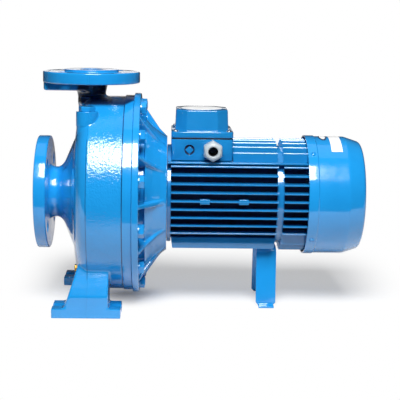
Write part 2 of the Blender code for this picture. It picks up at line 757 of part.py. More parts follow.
def motor_frame(paint):
    """Finned stator frame with its base pad, side rails and the groove near its rear end."""
    body = shaft_section("motor_frame", fin_section(CORE_R, False), FRONT_FINS_X, GROOVE_X)
    cut(body, box("box_seat", (FRAME_X - BITE, -BOX_HALF_WIDTH - GAP, BOX_BOTTOM_Z - GAP),
                  (BOX_END_X + GAP, BOX_HALF_WIDTH + GAP, SHAFT_HEIGHT + FIN_TIP_R + BITE)))
    core = turned("core", [(0, FRAME_END_X), (CORE_R - GAP, FRAME_END_X),
                           (CORE_R - GAP, FRAME_X), (0, FRAME_X)])
    rear = shaft_section("rear_fins", fin_section(CORE_R, True), GROOVE_END_X,
                         FRAME_END_X - GAP)
    pad = box("base_pad", (FRONT_FINS_X + GAP, -BASE_PAD_HALF_WIDTH, BASE_PAD_BOTTOM_Z),
              (GROOVE_X - GAP, BASE_PAD_HALF_WIDTH, BASE_PAD_BOTTOM_Z + BASE_PAD_T))
    join(body, core, rear, pad)
    for side in (-1, 1):
        ends = sorted((side * RAIL_INNER_Y, side * RAIL_OUTER_Y))
        rail_z = SHAFT_HEIGHT + RAIL_Z
        rail = box(f"rail{side}", (FRAME_X + GAP, ends[0], rail_z - RAIL_T / 2),
                   (FRAME_END_X - 2 * GAP, ends[1], rail_z + RAIL_T / 2))
        join(body, rail)
        for station in SIDE_PAD_X:
            reach = sorted((side * (CORE_R - BITE), side * (FIN_TIP_R - GAP)))
            join(body, box(f"side_pad{side}", (station - SIDE_PAD_LENGTH / 2, reach[0],
                                               SHAFT_HEIGHT - SIDE_PAD_HEIGHT / 2),
                           (station + SIDE_PAD_LENGTH / 2, reach[1],
                            SHAFT_HEIGHT + SIDE_PAD_HEIGHT / 2)))
    bore = cylinders("frame_bore", SHAFT_R + GAP, FRAME_END_X,
                     [around_shaft(0, 0, (FRAME_X + FRAME_END_X) / 2)])
    return finish(cut(body, bore), "motor_frame", paint)


def rear_end_shield(paint):
    """Bearing shield inside the fan cover, with lugs that carry the cover."""
    bore_r = SHAFT_R + GAP
    end = SHIELD_X + SHIELD_T
    boss_end = end + BEARING_BOSS_T
    body = turned("rear_end_shield", [(BEARING_BOSS_R, boss_end), (BEARING_BOSS_R, end),
                                      (SHIELD_R, end), (SHIELD_R, SHIELD_X),
                                      (bore_r, SHIELD_X), (bore_r, boss_end)])
    lug_r = math.sqrt((COVER_LIP_R - COVER_T - 2 * GAP) ** 2 - (LUG_WIDTH / 2) ** 2)
    quarter = math.pi / SHIELD_LUGS
    lug = box("lug", (SHIELD_X + GAP, -LUG_WIDTH / 2, BEARING_BOSS_R + BITE),
              (end - GAP, LUG_WIDTH / 2, lug_r))
    places = [Matrix.Translation((0, 0, SHAFT_HEIGHT))
              @ Matrix.Rotation(quarter + math.tau * i / SHIELD_LUGS, 4, "X")
              for i in range(SHIELD_LUGS)]
    return finish(join(body, copies("lugs", lug, places)), "rear_end_shield", paint)


def cooling_fan(plastic):
    """Radial fan: hub on the shaft, a disc and straight blades."""
    bore_r = SHAFT_R + GAP
    end = FAN_X + FAN_HUB_LENGTH
    disc = FAN_X + FAN_DISC_T
    body = turned("cooling_fan", [(FAN_HUB_R, end), (FAN_HUB_R, disc), (FAN_R, disc),
                                  (FAN_R, FAN_X), (bore_r, FAN_X), (bore_r, end)],
                  steps=INNER_STEPS)
    blade = box("blade", (disc - GAP, -FAN_BLADE_T / 2, FAN_HUB_R - BITE),
                (disc + FAN_BLADE_LENGTH, FAN_BLADE_T / 2, FAN_R - BITE))
    places = [Matrix.Translation((0, 0, SHAFT_HEIGHT))
              @ Matrix.Rotation(math.tau * i / FAN_BLADES, 4, "X") for i in range(FAN_BLADES)]
    return finish(join(body, copies("blades", blade, places)), "cooling_fan", plastic)


def grille_slots():
    """Slots between the grille's rings and spokes, as sectors cut through the cover's end."""
    band = (GRILLE_OUTER_R - GRILLE_INNER_R + GRILLE_BAR) / GRILLE_RINGS
    slots = []
    for ring in range(GRILLE_RINGS):
        low = GRILLE_INNER_R + ring * band
        high = low + band - GRILLE_BAR
        for sector in range(GRILLE_SECTORS):
            start = math.tau * sector / GRILLE_SECTORS
            sweep = math.tau / GRILLE_SECTORS
            steps = SLOT_STEPS + ring
            outer = []
            inner = []
            for step in range(steps + 1):
                share = step / steps
                for radius, side in ((high, outer), (low, inner)):
                    margin = GRILLE_BAR / 2 / radius
                    angle = start + margin + (sweep - 2 * margin) * share
                    side.append((radius * math.cos(angle), radius * math.sin(angle)))
            slot = prism(f"slot{ring}_{sector}", [outer + inner[::-1]], COVER_T + 2 * COVER_EDGE_R)
            slots.append(slot)
    shape = bmesh.new()
    for slot in slots:
        shape.from_mesh(slot.data)
        bpy.data.objects.remove(slot)
    bmesh.ops.transform(shape, matrix=around_shaft(0, 0, COVER_END_X), verts=shape.verts)
    mesh = bpy.data.meshes.new("grille_slots")
    shape.to_mesh(mesh)
    shape.free()
    return add_object("grille_slots", mesh)


def fan_cover(paint):
    """Pressed steel cover with a lip, a tapered end and a ring grille."""
    lip_end = COVER_LIP_X + COVER_LIP_LENGTH
    wall = COVER_T
    outer = [(0, COVER_END_X, 0), (COVER_END_R, COVER_END_X, COVER_EDGE_R),
             (COVER_R, COVER_TAPER_X, COVER_TAPER_R), (COVER_R, lip_end, 0), (COVER_LIP_R, lip_end, 0),
             (COVER_LIP_R, COVER_LIP_X, 0)]
    inner = [(COVER_LIP_R - wall, COVER_LIP_X, 0), (COVER_LIP_R - wall, lip_end, 0),
             (COVER_R - wall, lip_end, 0), (COVER_R - wall, COVER_TAPER_X, 0),
             (COVER_END_R - wall, COVER_END_X - wall, COVER_EDGE_R - wall),
             (0, COVER_END_X - wall, 0)]
    body = turned("fan_cover", rounded(outer + inner, closed=False))
    return finish(cut(body, grille_slots()), "fan_cover", paint)


def octagon(low_x, length, half_width, corner):
    """Plan outline of the raised lid, a rectangle with its corners cut off."""
    high_x = low_x + length
    return [(low_x + corner, -half_width), (high_x - corner, -half_width),
            (high_x, -half_width + corner), (high_x, half_width - corner),
            (high_x - corner, half_width), (low_x + corner, half_width),
            (low_x, half_width - corner), (low_x, -half_width + corner)]


def box_plan(inset):
    """Plan outline of the terminal box, with rounded corners."""
    low_x = BOX_X + inset
    high_x = BOX_END_X - inset
    half = BOX_HALF_WIDTH - inset
    radius = BOX_CORNER_R
    return rounded([(low_x, -half, radius), (high_x, -half, radius), (high_x, half, radius),
                    (low_x, half, radius)])


def slab(name, outline, low, high):
    """A prism standing between two heights."""
    return prism(name, [outline], high - low, Matrix.Translation((0, 0, (low + high) / 2)))


def side_entry(x, y):
    """A place on the near wall of the terminal box, Z axis pointing out of it."""
    return Matrix.Translation((x, y, ENTRY_Z)) @ Matrix.Rotation(math.pi / 2, 4, "X")


def terminal_box(paint, rubber):
    """Base on the frame's saddle, gasket, and lid with its raised octagon."""
    base = slab("terminal_box_base", box_plan(0), BOX_BOTTOM_Z, BOX_BASE_TOP_Z)
    saddle = turned("saddle", [(0, BOX_END_X + BITE), (CORE_R, BOX_END_X + BITE),
                               (CORE_R, BOX_X - BITE), (0, BOX_X - BITE)])
    near = -BOX_HALF_WIDTH
    blank = cylinders("blank_hole", BLANK_R, 2 * BLANK_DEPTH, [side_entry(BLANK_X, near)])
    gland = cylinders("gland_hole", GLAND_SHANK_R + GAP, 2 * GLAND_SHANK_DEPTH,
                      [side_entry(GLAND_X, near)])
    finish(cut(base, saddle, blank, gland), "terminal_box_base", paint)
    gasket_low = BOX_BASE_TOP_Z + GAP
    gasket = slab("terminal_box_gasket", box_plan(GASKET_INSET), gasket_low,
                  gasket_low + GASKET_T)
    finish(gasket, "terminal_box_gasket", rubber)
    lid = slab("terminal_box_lid", box_plan(0), LID_FLANGE_Z, LID_Z)
    raised = slab("raised_lid", octagon(LID_X, LID_LENGTH, LID_HALF_WIDTH, LID_CORNER),
                  LID_Z - BITE, LID_TOP_Z)
    middle = Vector((LID_X + LID_LENGTH / 2, 0))
    draft = 1 - LID_DRAFT / LID_HALF_WIDTH
    for vertex in raised.data.vertices:
        if vertex.co.z > 0:
            vertex.co.x = middle.x + (vertex.co.x - middle.x) * draft
            vertex.co.y = middle.y + (vertex.co.y - middle.y) * draft
    finish(join(lid, raised), "terminal_box_lid", paint)


def entry_blanking_plug(paint):
    """Disc that closes the unused cable entry, set back in its hole."""
    middle = -BOX_HALF_WIDTH + BLANK_DEPTH - GAP - BLANK_PLUG_T / 2
    disc = cylinders("entry_blanking_plug", BLANK_R - GAP, BLANK_PLUG_T,
                     [side_entry(BLANK_X, middle)])
    return finish(disc, "entry_blanking_plug", paint)


def cable_gland(grey, rubber):
    """Gland body with shank and hexagon, domed nut, and the rubber seal in the nut."""
    face = BOX_HALF_WIDTH + GAP
    place = side_entry(GLAND_X, 0)
    hex_end = face + GLAND_HEX_LENGTH
    hexagon = cylinders("cable_gland_body", GLAND_HEX_R, GLAND_HEX_LENGTH,
                        [side_entry(GLAND_X, -(face + hex_end) / 2)], 6)
    shank_low = BOX_HALF_WIDTH - GLAND_SHANK_DEPTH + GAP
    shank_length = face + BITE - shank_low
    shank = cylinders("gland_shank", GLAND_SHANK_R, shank_length,
                      [side_entry(GLAND_X, -(shank_low + shank_length / 2))])
    bore_length = 2 * (shank_length + GLAND_HEX_LENGTH)
    body_bore = cylinders("gland_body_bore", GLAND_BORE_R, bore_length,
                          [side_entry(GLAND_X, -face)])
    finish(cut(join(hexagon, shank), body_bore), "cable_gland_body", grey)
    nut_low = hex_end + GAP
    nut_end = nut_low + GLAND_NUT_LENGTH
    bore_r = GLAND_BORE_R + SEAL_WALL + GAP
    outline = rounded([(bore_r, nut_end, 0), (GLAND_NUT_END_R, nut_end, GLAND_NUT_EDGE_R),
                       (GLAND_NUT_R, nut_end - GLAND_NUT_TAPER, GLAND_NUT_SHOULDER_R),
                       (GLAND_NUT_R, nut_low, 0),
                       (bore_r, nut_low, 0)])
    finish(turned("cable_gland_nut", outline, place, ROUND_STEPS), "cable_gland_nut", grey)
    seal_low = nut_low + GAP
    seal_end = seal_low + SEAL_LENGTH
    seal_r = GLAND_BORE_R + SEAL_WALL
    seal = turned("cable_gland_seal", [(seal_r, seal_end), (seal_r, seal_low),
                                       (GLAND_BORE_R, seal_low), (GLAND_BORE_R, seal_end)],
                  place, ROUND_STEPS)
    finish(seal, "cable_gland_seal", rubber)


def stand_path():
    """Centre line of the bent strip in (Y, Z), from one foot tab over the top to the other."""
    low = STAND_T / 2
    high = BASE_PAD_BOTTOM_Z - GAP - STAND_T / 2
    tab = STAND_FLOOR_HALF_SPREAD + STAND_TAB_LENGTH
    return rounded([(-tab, low, 0), (-STAND_FLOOR_HALF_SPREAD, low, STAND_BEND_R / 2),
                    (-STAND_TOP_HALF_SPREAD, high, STAND_BEND_R),
                    (STAND_TOP_HALF_SPREAD, high, STAND_BEND_R),
                    (STAND_FLOOR_HALF_SPREAD, low, STAND_BEND_R / 2), (tab, low, 0)],
                   closed=False)


def stand_width(y, z):
    """Width of the strip: narrow foot tabs and slightly bellied legs."""
    if abs(y) > STAND_FLOOR_HALF_SPREAD:
        return STAND_TAB_WIDTH
    share = z / BASE_PAD_BOTTOM_Z
    return STAND_WIDTH_END + (STAND_WIDTH_MID - STAND_WIDTH_END) * math.sin(math.pi * share)


def motor_stand(paint):
    """Bent strip under the motor, a thin sheet given its thickness."""
    rows = []
    for y, z in stand_path():
        half = stand_width(y, z) / 2
        rows.append([(STAND_X - half, y, z), (STAND_X + half, y, z)])
    mesh = bpy.data.meshes.new("motor_stand")
    faces = [(2 * i, 2 * i + 1, 2 * i + 3, 2 * i + 2) for i in range(len(rows) - 1)]
    mesh.from_pydata([point for row in rows for point in row], [], faces)
    item = add_object("motor_stand", mesh)
    sheet = item.modifiers.new("Sheet", "SOLIDIFY")
    sheet.thickness = STAND_T
    sheet.offset = 0
    sheet.use_even_offset = True
    return finish(item, "motor_stand", paint)


def build():
    """Make every piece with its material."""
    paint = make_material("blue_machine_paint", (0.010, 0.315, 0.730), 0.28)
    brass = make_material("brass", (0.60, 0.42, 0.13), 0.35, 1.0)
    steel = make_material("bright_steel", (0.55, 0.56, 0.58), 0.32, 1.0)
    iron = make_material("cast_iron", (0.16, 0.16, 0.17), 0.6, 0.8)
    grey = make_material("light_grey_polyamide", (0.62, 0.64, 0.62), 0.45)
    rubber = make_material("black_rubber", (0.015, 0.015, 0.016), 0.7)
    plastic = make_material("black_moulded_plastic", (0.02, 0.02, 0.022), 0.5)
    volute_casing(paint)
    priming_plug(paint)
    drain_plug(brass)
    impeller(iron)
    impeller_nut(steel)
    pump_shaft(steel)
    lantern_bracket(paint)
    motor_frame(paint)
    rear_end_shield(paint)
    cooling_fan(plastic)
    fan_cover(paint)
    terminal_box(paint, rubber)
    entry_blanking_plug(paint)
    cable_gland(grey, rubber)
    motor_stand(paint)


build()
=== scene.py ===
"""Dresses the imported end-suction pump: castings, fins, fasteners, paint and a plain studio."""

import itertools
import math

import bmesh
import bpy
from mathutils import Matrix, Vector


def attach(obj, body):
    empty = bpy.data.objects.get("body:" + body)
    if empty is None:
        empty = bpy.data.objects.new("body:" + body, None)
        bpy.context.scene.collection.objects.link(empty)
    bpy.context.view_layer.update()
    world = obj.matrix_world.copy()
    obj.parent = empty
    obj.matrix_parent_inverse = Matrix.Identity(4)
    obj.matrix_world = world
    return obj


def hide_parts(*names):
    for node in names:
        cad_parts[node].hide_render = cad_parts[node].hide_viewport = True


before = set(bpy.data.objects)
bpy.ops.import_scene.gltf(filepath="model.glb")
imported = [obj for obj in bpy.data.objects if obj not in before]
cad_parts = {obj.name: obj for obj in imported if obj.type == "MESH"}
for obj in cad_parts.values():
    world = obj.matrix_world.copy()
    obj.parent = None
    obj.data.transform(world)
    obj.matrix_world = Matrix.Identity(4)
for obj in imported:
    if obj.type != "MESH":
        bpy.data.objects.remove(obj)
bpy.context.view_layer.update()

# Stations are metres along the shaft from the discharge axis, which stands here in the frame
DISCHARGE_X = -0.1564
SHAFT_Z = 0.160
FLOOR_GAP = 0.0002
FINE = 144
UPRIGHT = Matrix()
ALONG_X = Matrix.Rotation(math.pi / 2, 4, "Y")
OUT_SIDEWAYS = Matrix.Rotation(math.pi / 2, 4, "X")
TO_SHAFT = Matrix.Translation((0, 0, SHAFT_Z)) @ ALONG_X

# Pipe flanges: radii, and how far along their pipe the raised face, the rim and the back stand
SUCTION = {"bore_r": 0.025, "face_r": 0.051, "rim_r": 0.0825, "circle_r": 0.0625,
           "face": -0.080, "rim": -0.077, "back": -0.060}
DISCHARGE = {"bore_r": 0.016, "face_r": 0.039, "rim_r": 0.070, "circle_r": 0.050,
             "face": 0.340, "rim": 0.337, "back": 0.3209}
BOLT_HOLE_R = 0.0095
BOLT_HOLES = 4

# Volute casing
CASING_R = 0.1415
CASING_FRONT_X = -0.0188
PARTING_X = 0.0010
CASING_FLANGE_X = 0.0498
CASING_FLANGE_R = 0.1432
JOINT_X = 0.0629
CAVITY_R = 0.105
CAVITY_X = -0.002
WEAR_RING_R = 0.0288
REGISTER_R = 0.118
FOOT_Y = 0.095
FOOT_HALF_LENGTH = 0.0485
FOOT_T = 0.0135
LEG_FOLD_Z = 0.031
LEG_OUTER_Y = 0.1198
LEG_INNER_Y = 0.0705
LEG_LEAN = 0.46
PRIMING_X = -0.001
PRIMING_Y = -0.078
PRIMING_TOP_Z = 0.2852
DRAIN_DROP = 0.115

# Lantern bracket
LANTERN_X = 0.0632
LANTERN_BACK_X = 0.0724
LANTERN_FLANGE_R = 0.1463
PANEL_X = 0.0804
LANTERN_END_X = 0.1107
RIBS = 12
BOLT_CIRCLE_R = 0.131

# Motor
CORE_R = 0.072
FRONT_FINS_X = 0.117
GROOVE_X = 0.2690
GROOVE_END_X = 0.2772
FRAME_END_X = 0.312
FIN_TIP_R = 0.0825
FIN_PITCH = 0.012
FIN_ROOT_R = 0.045
SLEEVE_R = 0.066
PAD_BOTTOM_Z = 0.0870
PAD_TOP_Z = 0.1030
PAD_END_DRAFT = 0.0022
BOSS_STATIONS = (0.1647, 0.2198)
SHAFT_BORE_R = 0.0098
FINS = 9
RAIL_Z = 0.21275
COVER_LIP_X = 0.3117
COVER_LIP_R = 0.0874
COVER_R = 0.0863
COVER_STEP_X = 0.3262
COVER_TAPER_X = 0.3700
COVER_SCREW_X = 0.3190
COVER_END_X = 0.3940
COVER_END_R = 0.0785
COVER_T = 0.002
GRILLE_OUTER_R = 0.068
GRILLE_INNER_R = 0.014
GRILLE_BAR = 0.0035

# Terminal box and cable gland
BOX_X = 0.1164
BOX_END_X = 0.205
LID_FLANGE_TOP_Z = 0.2556
LID_TOP_Z = 0.2855
LID_MIDDLE_X = 0.1602
GLAND_X = 0.1755
BLANK_X = 0.1425
BLANK_BACK_Y = -0.0461
ENTRY_Z = 0.230


# Meshes

def at(x, y, z):
    """A shift to a place."""
    return Matrix.Translation((x, y, z))


def add_piece(name, mesh):
    """A new object in the scene that holds a mesh."""
    piece = bpy.data.objects.new(name, mesh)
    bpy.context.scene.collection.objects.link(piece)
    return piece


def from_shape(name, shape, turn_out=True):
    """An object from a bmesh, with its normals turned outwards unless they are already."""
    if turn_out:
        bmesh.ops.recalc_face_normals(shape, faces=shape.faces)
    mesh = bpy.data.meshes.new(name)
    shape.to_mesh(mesh)
    shape.free()
    return add_piece(name, mesh)


def rounded(corners, facet=math.radians(10)):
    """Outline points from (x, y, radius) corners, with an arc wherever the radius isn't zero."""
    points = []
    for index, (x, y, radius) in enumerate(corners):
        corner = Vector((x, y))
        if radius == 0:
            points.append(corner)
            continue
        before = (Vector(corners[index - 1][:2]) - corner).normalized()
        after = (Vector(corners[(index + 1) % len(corners)][:2]) - corner).normalized()
        half = before.angle(after) / 2
        centre = corner + (before + after).normalized() * radius / math.sin(half)
        start = corner + before * radius / math.tan(half) - centre
        end = corner + after * radius / math.tan(half) - centre
        sweep = math.copysign(math.pi - 2 * half, start.x * end.y - start.y * end.x)
        steps = max(2, math.ceil(abs(sweep) / facet))
        for step in range(steps + 1):
            turn = sweep * step / steps
            points.append(centre + Vector((start.x * math.cos(turn) - start.y * math.sin(turn),
                                           start.x * math.sin(turn) + start.y * math.cos(turn))))
    return points


def flowing(points, steps=6):
    """A smooth curve through points, for the swept lines of a casting."""
    line = []
    ends = [points[0]] + list(points) + [points[-1]]
    for i in range(1, len(ends) - 2):
        a, b, c, d = (Vector(p) for p in ends[i - 1:i + 3])
        for step in range(steps):
            t = step / steps
            line.append(0.5 * (2 * b + (c - a) * t + (2 * a - 5 * b + 4 * c - d) * t ** 2
                               + (3 * b - a - 3 * c + d) * t ** 3))
    line.append(Vector(points[-1]))
    return line


def turned(name, outline, steps=FINE, place=TO_SHAFT):
    """A closed solid turned about its local Z from (radius, height) points."""
    shape = bmesh.new()
    rings = []
    for radius, height in outline:
        if radius < 1e-6:
            rings.append([shape.verts.new((0, 0, height))] * steps)
            continue
        rings.append([shape.verts.new((radius * math.cos(math.tau * i / steps),
                                       radius * math.sin(math.tau * i / steps), height))
                      for i in range(steps)])
    pairs = list(zip(rings, rings[1:]))
    if outline[0][0] > 1e-6:
        pairs.append((rings[-1], rings[0]))
    for low, high in pairs:
        for i in range(steps):
            corners = list(dict.fromkeys((low[i - 1], low[i], high[i], high[i - 1])))
            if len(corners) > 2:
                shape.faces.new(corners)
    shape.transform(place)
    return from_shape(name, shape)


def band(name, inner_r, outer_r, low, high, edges=(0, 0), steps=FINE, place=TO_SHAFT):
    """A turned ring, or a disc for no inner radius, with its low and high outer edges rounded."""
    return turned(name, rounded([(inner_r, low, 0), (outer_r, low, edges[0]),
                                 (outer_r, high, edges[1]), (inner_r, high, 0)]), steps, place)


def prism(name, outline, low, high, place=UPRIGHT):
    """A straight-sided solid between two heights of its local Z, from one outline."""
    shape = bmesh.new()
    bottom, top = ([shape.verts.new((x, y, z)) for x, y in outline] for z in (low, high))
    shape.faces.new(bottom[::-1])
    shape.faces.new(top)
    for i in range(len(outline)):
        shape.faces.new((bottom[i - 1], bottom[i], top[i], top[i - 1]))
    shape.transform(place)
    return from_shape(name, shape)


def block(name, low, high, edge=0.0, segments=3):
    """A rectangular block between two corners, with its edges rounded."""
    shape = bmesh.new()
    bmesh.ops.create_cube(shape, size=1)
    size = [b - a for a, b in zip(low, high)]
    bmesh.ops.scale(shape, vec=size, verts=shape.verts)
    bmesh.ops.translate(shape, vec=[(a + b) / 2 for a, b in zip(low, high)], verts=shape.verts)
    if edge:
        bmesh.ops.bevel(shape, geom=shape.edges[:], offset=edge, segments=segments, profile=0.5,
                        affect="EDGES")
    return from_shape(name, shape)


def applied(piece):
    """Turns a piece's modifiers into plain mesh."""
    graph = bpy.context.evaluated_depsgraph_get()
    mesh = bpy.data.meshes.new_from_object(piece.evaluated_get(graph))
    piece.modifiers.clear()
    piece.data = mesh
    return piece


def joined(name, *pieces):
    """Several closed shells as one object."""
    shape = bmesh.new()
    for piece in pieces:
        shape.from_mesh(piece.data)
        bpy.data.objects.remove(piece)
    return from_shape(name, shape, False)


def without(piece, *tools, solver="EXACT"):
    """Cuts tools out of a piece."""
    for tool in tools:
        cut = piece.modifiers.new("Cut", "BOOLEAN")
        cut.object = tool
        cut.operation = "DIFFERENCE"
        cut.solver = solver
        applied(piece)
        bpy.data.objects.remove(tool)
    return piece


def cast(piece, voxel, rounds, faces):
    """One cast skin over overlapping shells, with the small fillets that a mould gives."""
    skin = piece.modifiers.new("Skin", "REMESH")
    skin.mode = "VOXEL"
    skin.voxel_size = voxel
    fettle = piece.modifiers.new("Fettle", "SMOOTH")
    fettle.factor = 0.5
    fettle.iterations = rounds
    applied(piece)
    thin = piece.modifiers.new("Thin", "DECIMATE")
    thin.ratio = min(1.0, faces / (2 * len(piece.data.polygons)))
    return applied(piece)


def softened(piece, width):
    """Rounds every sharp edge of a piece."""
    shape = bmesh.new()
    shape.from_mesh(piece.data)
    bmesh.ops.remove_doubles(shape, verts=shape.verts, dist=0.00001)
    bmesh.ops.dissolve_limit(shape, angle_limit=math.radians(0.5), verts=shape.verts,
                             edges=shape.edges)
    shape.to_mesh(piece.data)
    shape.free()
    bevel = piece.modifiers.new("Edge", "BEVEL")
    bevel.width = width
    bevel.segments = 3
    bevel.limit_method = "ANGLE"
    bevel.angle_limit = math.radians(28)
    bevel.use_clamp_overlap = True
    return applied(piece)


def cad_copy(node):
    """A copy of a CAD node, moved back to the discharge axis like every new piece."""
    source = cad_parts[node]
    mesh = source.data.copy()
    mesh.transform(source.matrix_world)
    mesh.transform(at(-DISCHARGE_X, 0, 0))
    mesh.materials.clear()
    return add_piece(node + "_copy", mesh)


def hand_over(piece, name, finish, slot, *nodes):
    """Sets a piece in the frame with its finish, and hides the CAD nodes it stands for."""
    piece.name = name
    piece.data.name = name
    piece.data.transform(at(DISCHARGE_X, 0, 0))
    piece.data.materials.clear()
    piece.data.materials.append(finish)
    for face in piece.data.polygons:
        face.material_index = 0
    piece.data.shade_smooth()
    piece.data.set_sharp_from_angle(angle=math.radians(32))
    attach(piece, "root")
    if nodes:
        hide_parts(*nodes)


# Node trees

def fit(tree, node, settings):
    """Gives a node its wires, its own settings and the values of its other inputs."""
    for key, value in settings.items():
        if isinstance(value, bpy.types.NodeSocket):
            tree.links.new(value, node.inputs[key])
        elif isinstance(key, str) and hasattr(node, key):
            setattr(node, key, value)
        else:
            node.inputs[key].default_value = value


def add(tree, kind, settings=None, give=0):
    """Adds a fitted node and gives one of its outputs, or all of them for None."""
    node = tree.nodes.new(kind)
    fit(tree, node, settings or {})
    return node.outputs if give is None else node.outputs[give]


def work_out(tree, operation, *values):
    """One step of arithmetic on numbers and patterns."""
    return add(tree, "ShaderNodeMath", {"operation": operation, **dict(enumerate(values))})


def times(tree, first, *others):
    """Patterns and numbers multiplied together."""
    for other in others:
        first = work_out(tree, "MULTIPLY", first, other)
    return first


def combined(tree, **parts):
    """A vector from what its axes are given."""
    return add(tree, "ShaderNodeCombineXYZ", parts)


def new_tree(name, **sockets):
    """A geometry tree with inputs named by kind, the last one its finish, and what they give."""
    tree = bpy.data.node_groups.new(name, "GeometryNodeTree")
    tree.interface.new_socket("Geometry", in_out="OUTPUT", socket_type="NodeSocketGeometry")
    for kind, labels in (*sockets.items(), ("Material", ["Finish"])):
        for label in labels:
            tree.interface.new_socket(label, in_out="INPUT", socket_type="NodeSocket" + kind)
    return tree, add(tree, "NodeGroupInput", give=None)


def close_tree(tree, given, geometry):
    """Ends a tree in real geometry with its finish set."""
    real = add(tree, "GeometryNodeRealizeInstances", {"Geometry": geometry})
    dressed = add(tree, "GeometryNodeSetMaterial", {"Geometry": real, "Material": given["Finish"]})
    add(tree, "NodeGroupOutput", {0: dressed}, None)
    return tree


def row_of_points(tree, count, place):
    """Points at places that follow from their number."""
    points = add(tree, "GeometryNodePoints", {"Count": count})
    return add(tree, "GeometryNodeSetPosition", {"Geometry": points, "Position": place})


def copies_of(tree, piece, points, **settings):
    """Copies of an object on points."""
    source = add(tree, "GeometryNodeObjectInfo", {"Object": piece}, "Geometry")
    return add(tree, "GeometryNodeInstanceOnPoints",
               {"Points": points, "Instance": source, **settings})


def grown(name, tree, **values):
    """Runs a geometry tree with its inputs set by identifier, and keeps the mesh it makes."""
    piece = add_piece(name, bpy.data.meshes.new(name))
    growth = piece.modifiers.new("Growth", "NODES")
    growth.node_group = tree
    for item in tree.interface.items_tree:
        if item.in_out == "INPUT":
            growth[item.identifier] = values[item.name.replace(" ", "_").lower()]
    return applied(piece)


def ring_tree():
    """Copies of one piece on a circle round the shaft, each turned to face outwards."""
    tree, given = new_tree("ring_round_shaft", Object=["Piece"], Int=["Count"], Float=[
        "Circle radius", "Station", "Start angle", "Axis height"])
    step = work_out(tree, "DIVIDE", math.tau, given["Count"])
    angle = work_out(tree, "MULTIPLY_ADD", add(tree, "GeometryNodeInputIndex"), step,
                     given["Start angle"])
    across = times(tree, work_out(tree, "SINE", angle), -1.0, given["Circle radius"])
    height = work_out(tree, "MULTIPLY_ADD", work_out(tree, "COSINE", angle),
                      given["Circle radius"], given["Axis height"])
    place = combined(tree, X=given["Station"], Y=across, Z=height)
    copies = copies_of(tree, given["Piece"], row_of_points(tree, given["Count"], place),
                       Rotation=combined(tree, X=angle))
    return close_tree(tree, given, copies)


def fin_tree():
    """A bank of parallel fins whose tips follow the frame's circle, turned to one side."""
    tree, given = new_tree("fin_bank", Object=["Blade"], Int=["Count"], Float=[
        "Pitch", "Tip radius", "Root radius", "Side", "Axis height"])
    middle = times(tree, work_out(tree, "SUBTRACT", given["Count"], 1.0), 0.5)
    offset = times(tree, work_out(tree, "SUBTRACT", add(tree, "GeometryNodeInputIndex"), middle),
                   given["Pitch"])
    room = work_out(tree, "SUBTRACT", times(tree, given["Tip radius"], given["Tip radius"]),
                    times(tree, offset, offset))
    reach = work_out(tree, "SUBTRACT", work_out(tree, "SQRT", room), given["Root radius"])
    seat = combined(tree, Y=offset, Z=given["Root radius"])
    copies = copies_of(tree, given["Blade"], row_of_points(tree, given["Count"], seat),
                       Scale=combined(tree, X=1.0, Y=1.0, Z=reach))
    return close_tree(tree, given, add(tree, "GeometryNodeTransform", {
        "Geometry": copies, "Translation": combined(tree, Z=given["Axis height"]),
        "Rotation": combined(tree, X=given["Side"])}))


def screw_tree():
    """One screw at each corner of a rectangle on a lid."""
    tree, given = new_tree("lid_screws", Object=["Piece"], Float=["Length", "Width"],
                           Vector=["Middle"])
    corners = add(tree, "GeometryNodeMeshGrid", {
        "Vertices X": 2, "Vertices Y": 2, "Size X": given["Length"], "Size Y": given["Width"]})
    moved = add(tree, "GeometryNodeSetPosition", {"Geometry": corners, "Offset": given["Middle"]})
    return close_tree(tree, given, copies_of(tree, given["Piece"], moved))


def grille_tree():
    """Evenly spaced ring bars across the end of the fan cover."""
    tree, given = new_tree("grille_rings", Int=["Count"], Float=[
        "Inner radius", "Ring step", "Bar", "Depth"])
    radius = work_out(tree, "MULTIPLY_ADD", add(tree, "GeometryNodeInputIndex"),
                      given["Ring step"], given["Inner radius"])
    circle = add(tree, "GeometryNodeCurvePrimitiveCircle", {"Resolution": 96, "Radius": 1.0})
    copies = add(tree, "GeometryNodeInstanceOnPoints", {
        "Points": add(tree, "GeometryNodePoints", {"Count": given["Count"]}),
        "Instance": circle, "Scale": combined(tree, X=radius, Y=radius, Z=radius)})
    section = add(tree, "GeometryNodeCurvePrimitiveQuadrilateral", {
        "Width": given["Bar"], "Height": given["Depth"]})
    return close_tree(tree, given, add(tree, "GeometryNodeCurveToMesh", {
        "Curve": add(tree, "GeometryNodeRealizeInstances", {"Geometry": copies}),
        "Profile Curve": section}))


# Finishes

def linear(code):
    """A colour for a socket from an sRGB hex code."""
    channels = [int(code[i:i + 2], 16) / 255 for i in (0, 2, 4)]
    return (*[c / 12.92 if c <= 0.04045 else ((c + 0.055) / 1.055) ** 2.4 for c in channels], 1.0)


def new_finish(name):
    """A material with its Principled shader, and its object coordinates."""
    finish = bpy.data.materials.new(name)
    finish.use_nodes = True
    tree = finish.node_tree
    place = add(tree, "ShaderNodeTexCoord", give="Object")
    return finish, tree, tree.nodes["Principled BSDF"], place


def noise(tree, place, size, detail, roughness=0.5):
    """Noise whose lumps are about as wide as a real size in metres."""
    return add(tree, "ShaderNodeTexNoise", {
        "Vector": place, "Scale": 1 / size, "Detail": detail, "Roughness": roughness}, "Fac")


def spread(tree, value, low, high, from_low=0.3, from_high=0.7):
    """A pattern's values brought to the range that a socket wants."""
    return add(tree, "ShaderNodeMapRange", {
        "Value": value, "From Min": from_low, "From Max": from_high, "To Min": low, "To Max": high})


def fading(tree, value, start, end):
    """A soft step from nothing at one value to all at another."""
    return add(tree, "ShaderNodeMapRange", {
        "interpolation_type": "SMOOTHSTEP", "Value": value, "From Min": start, "From Max": end})


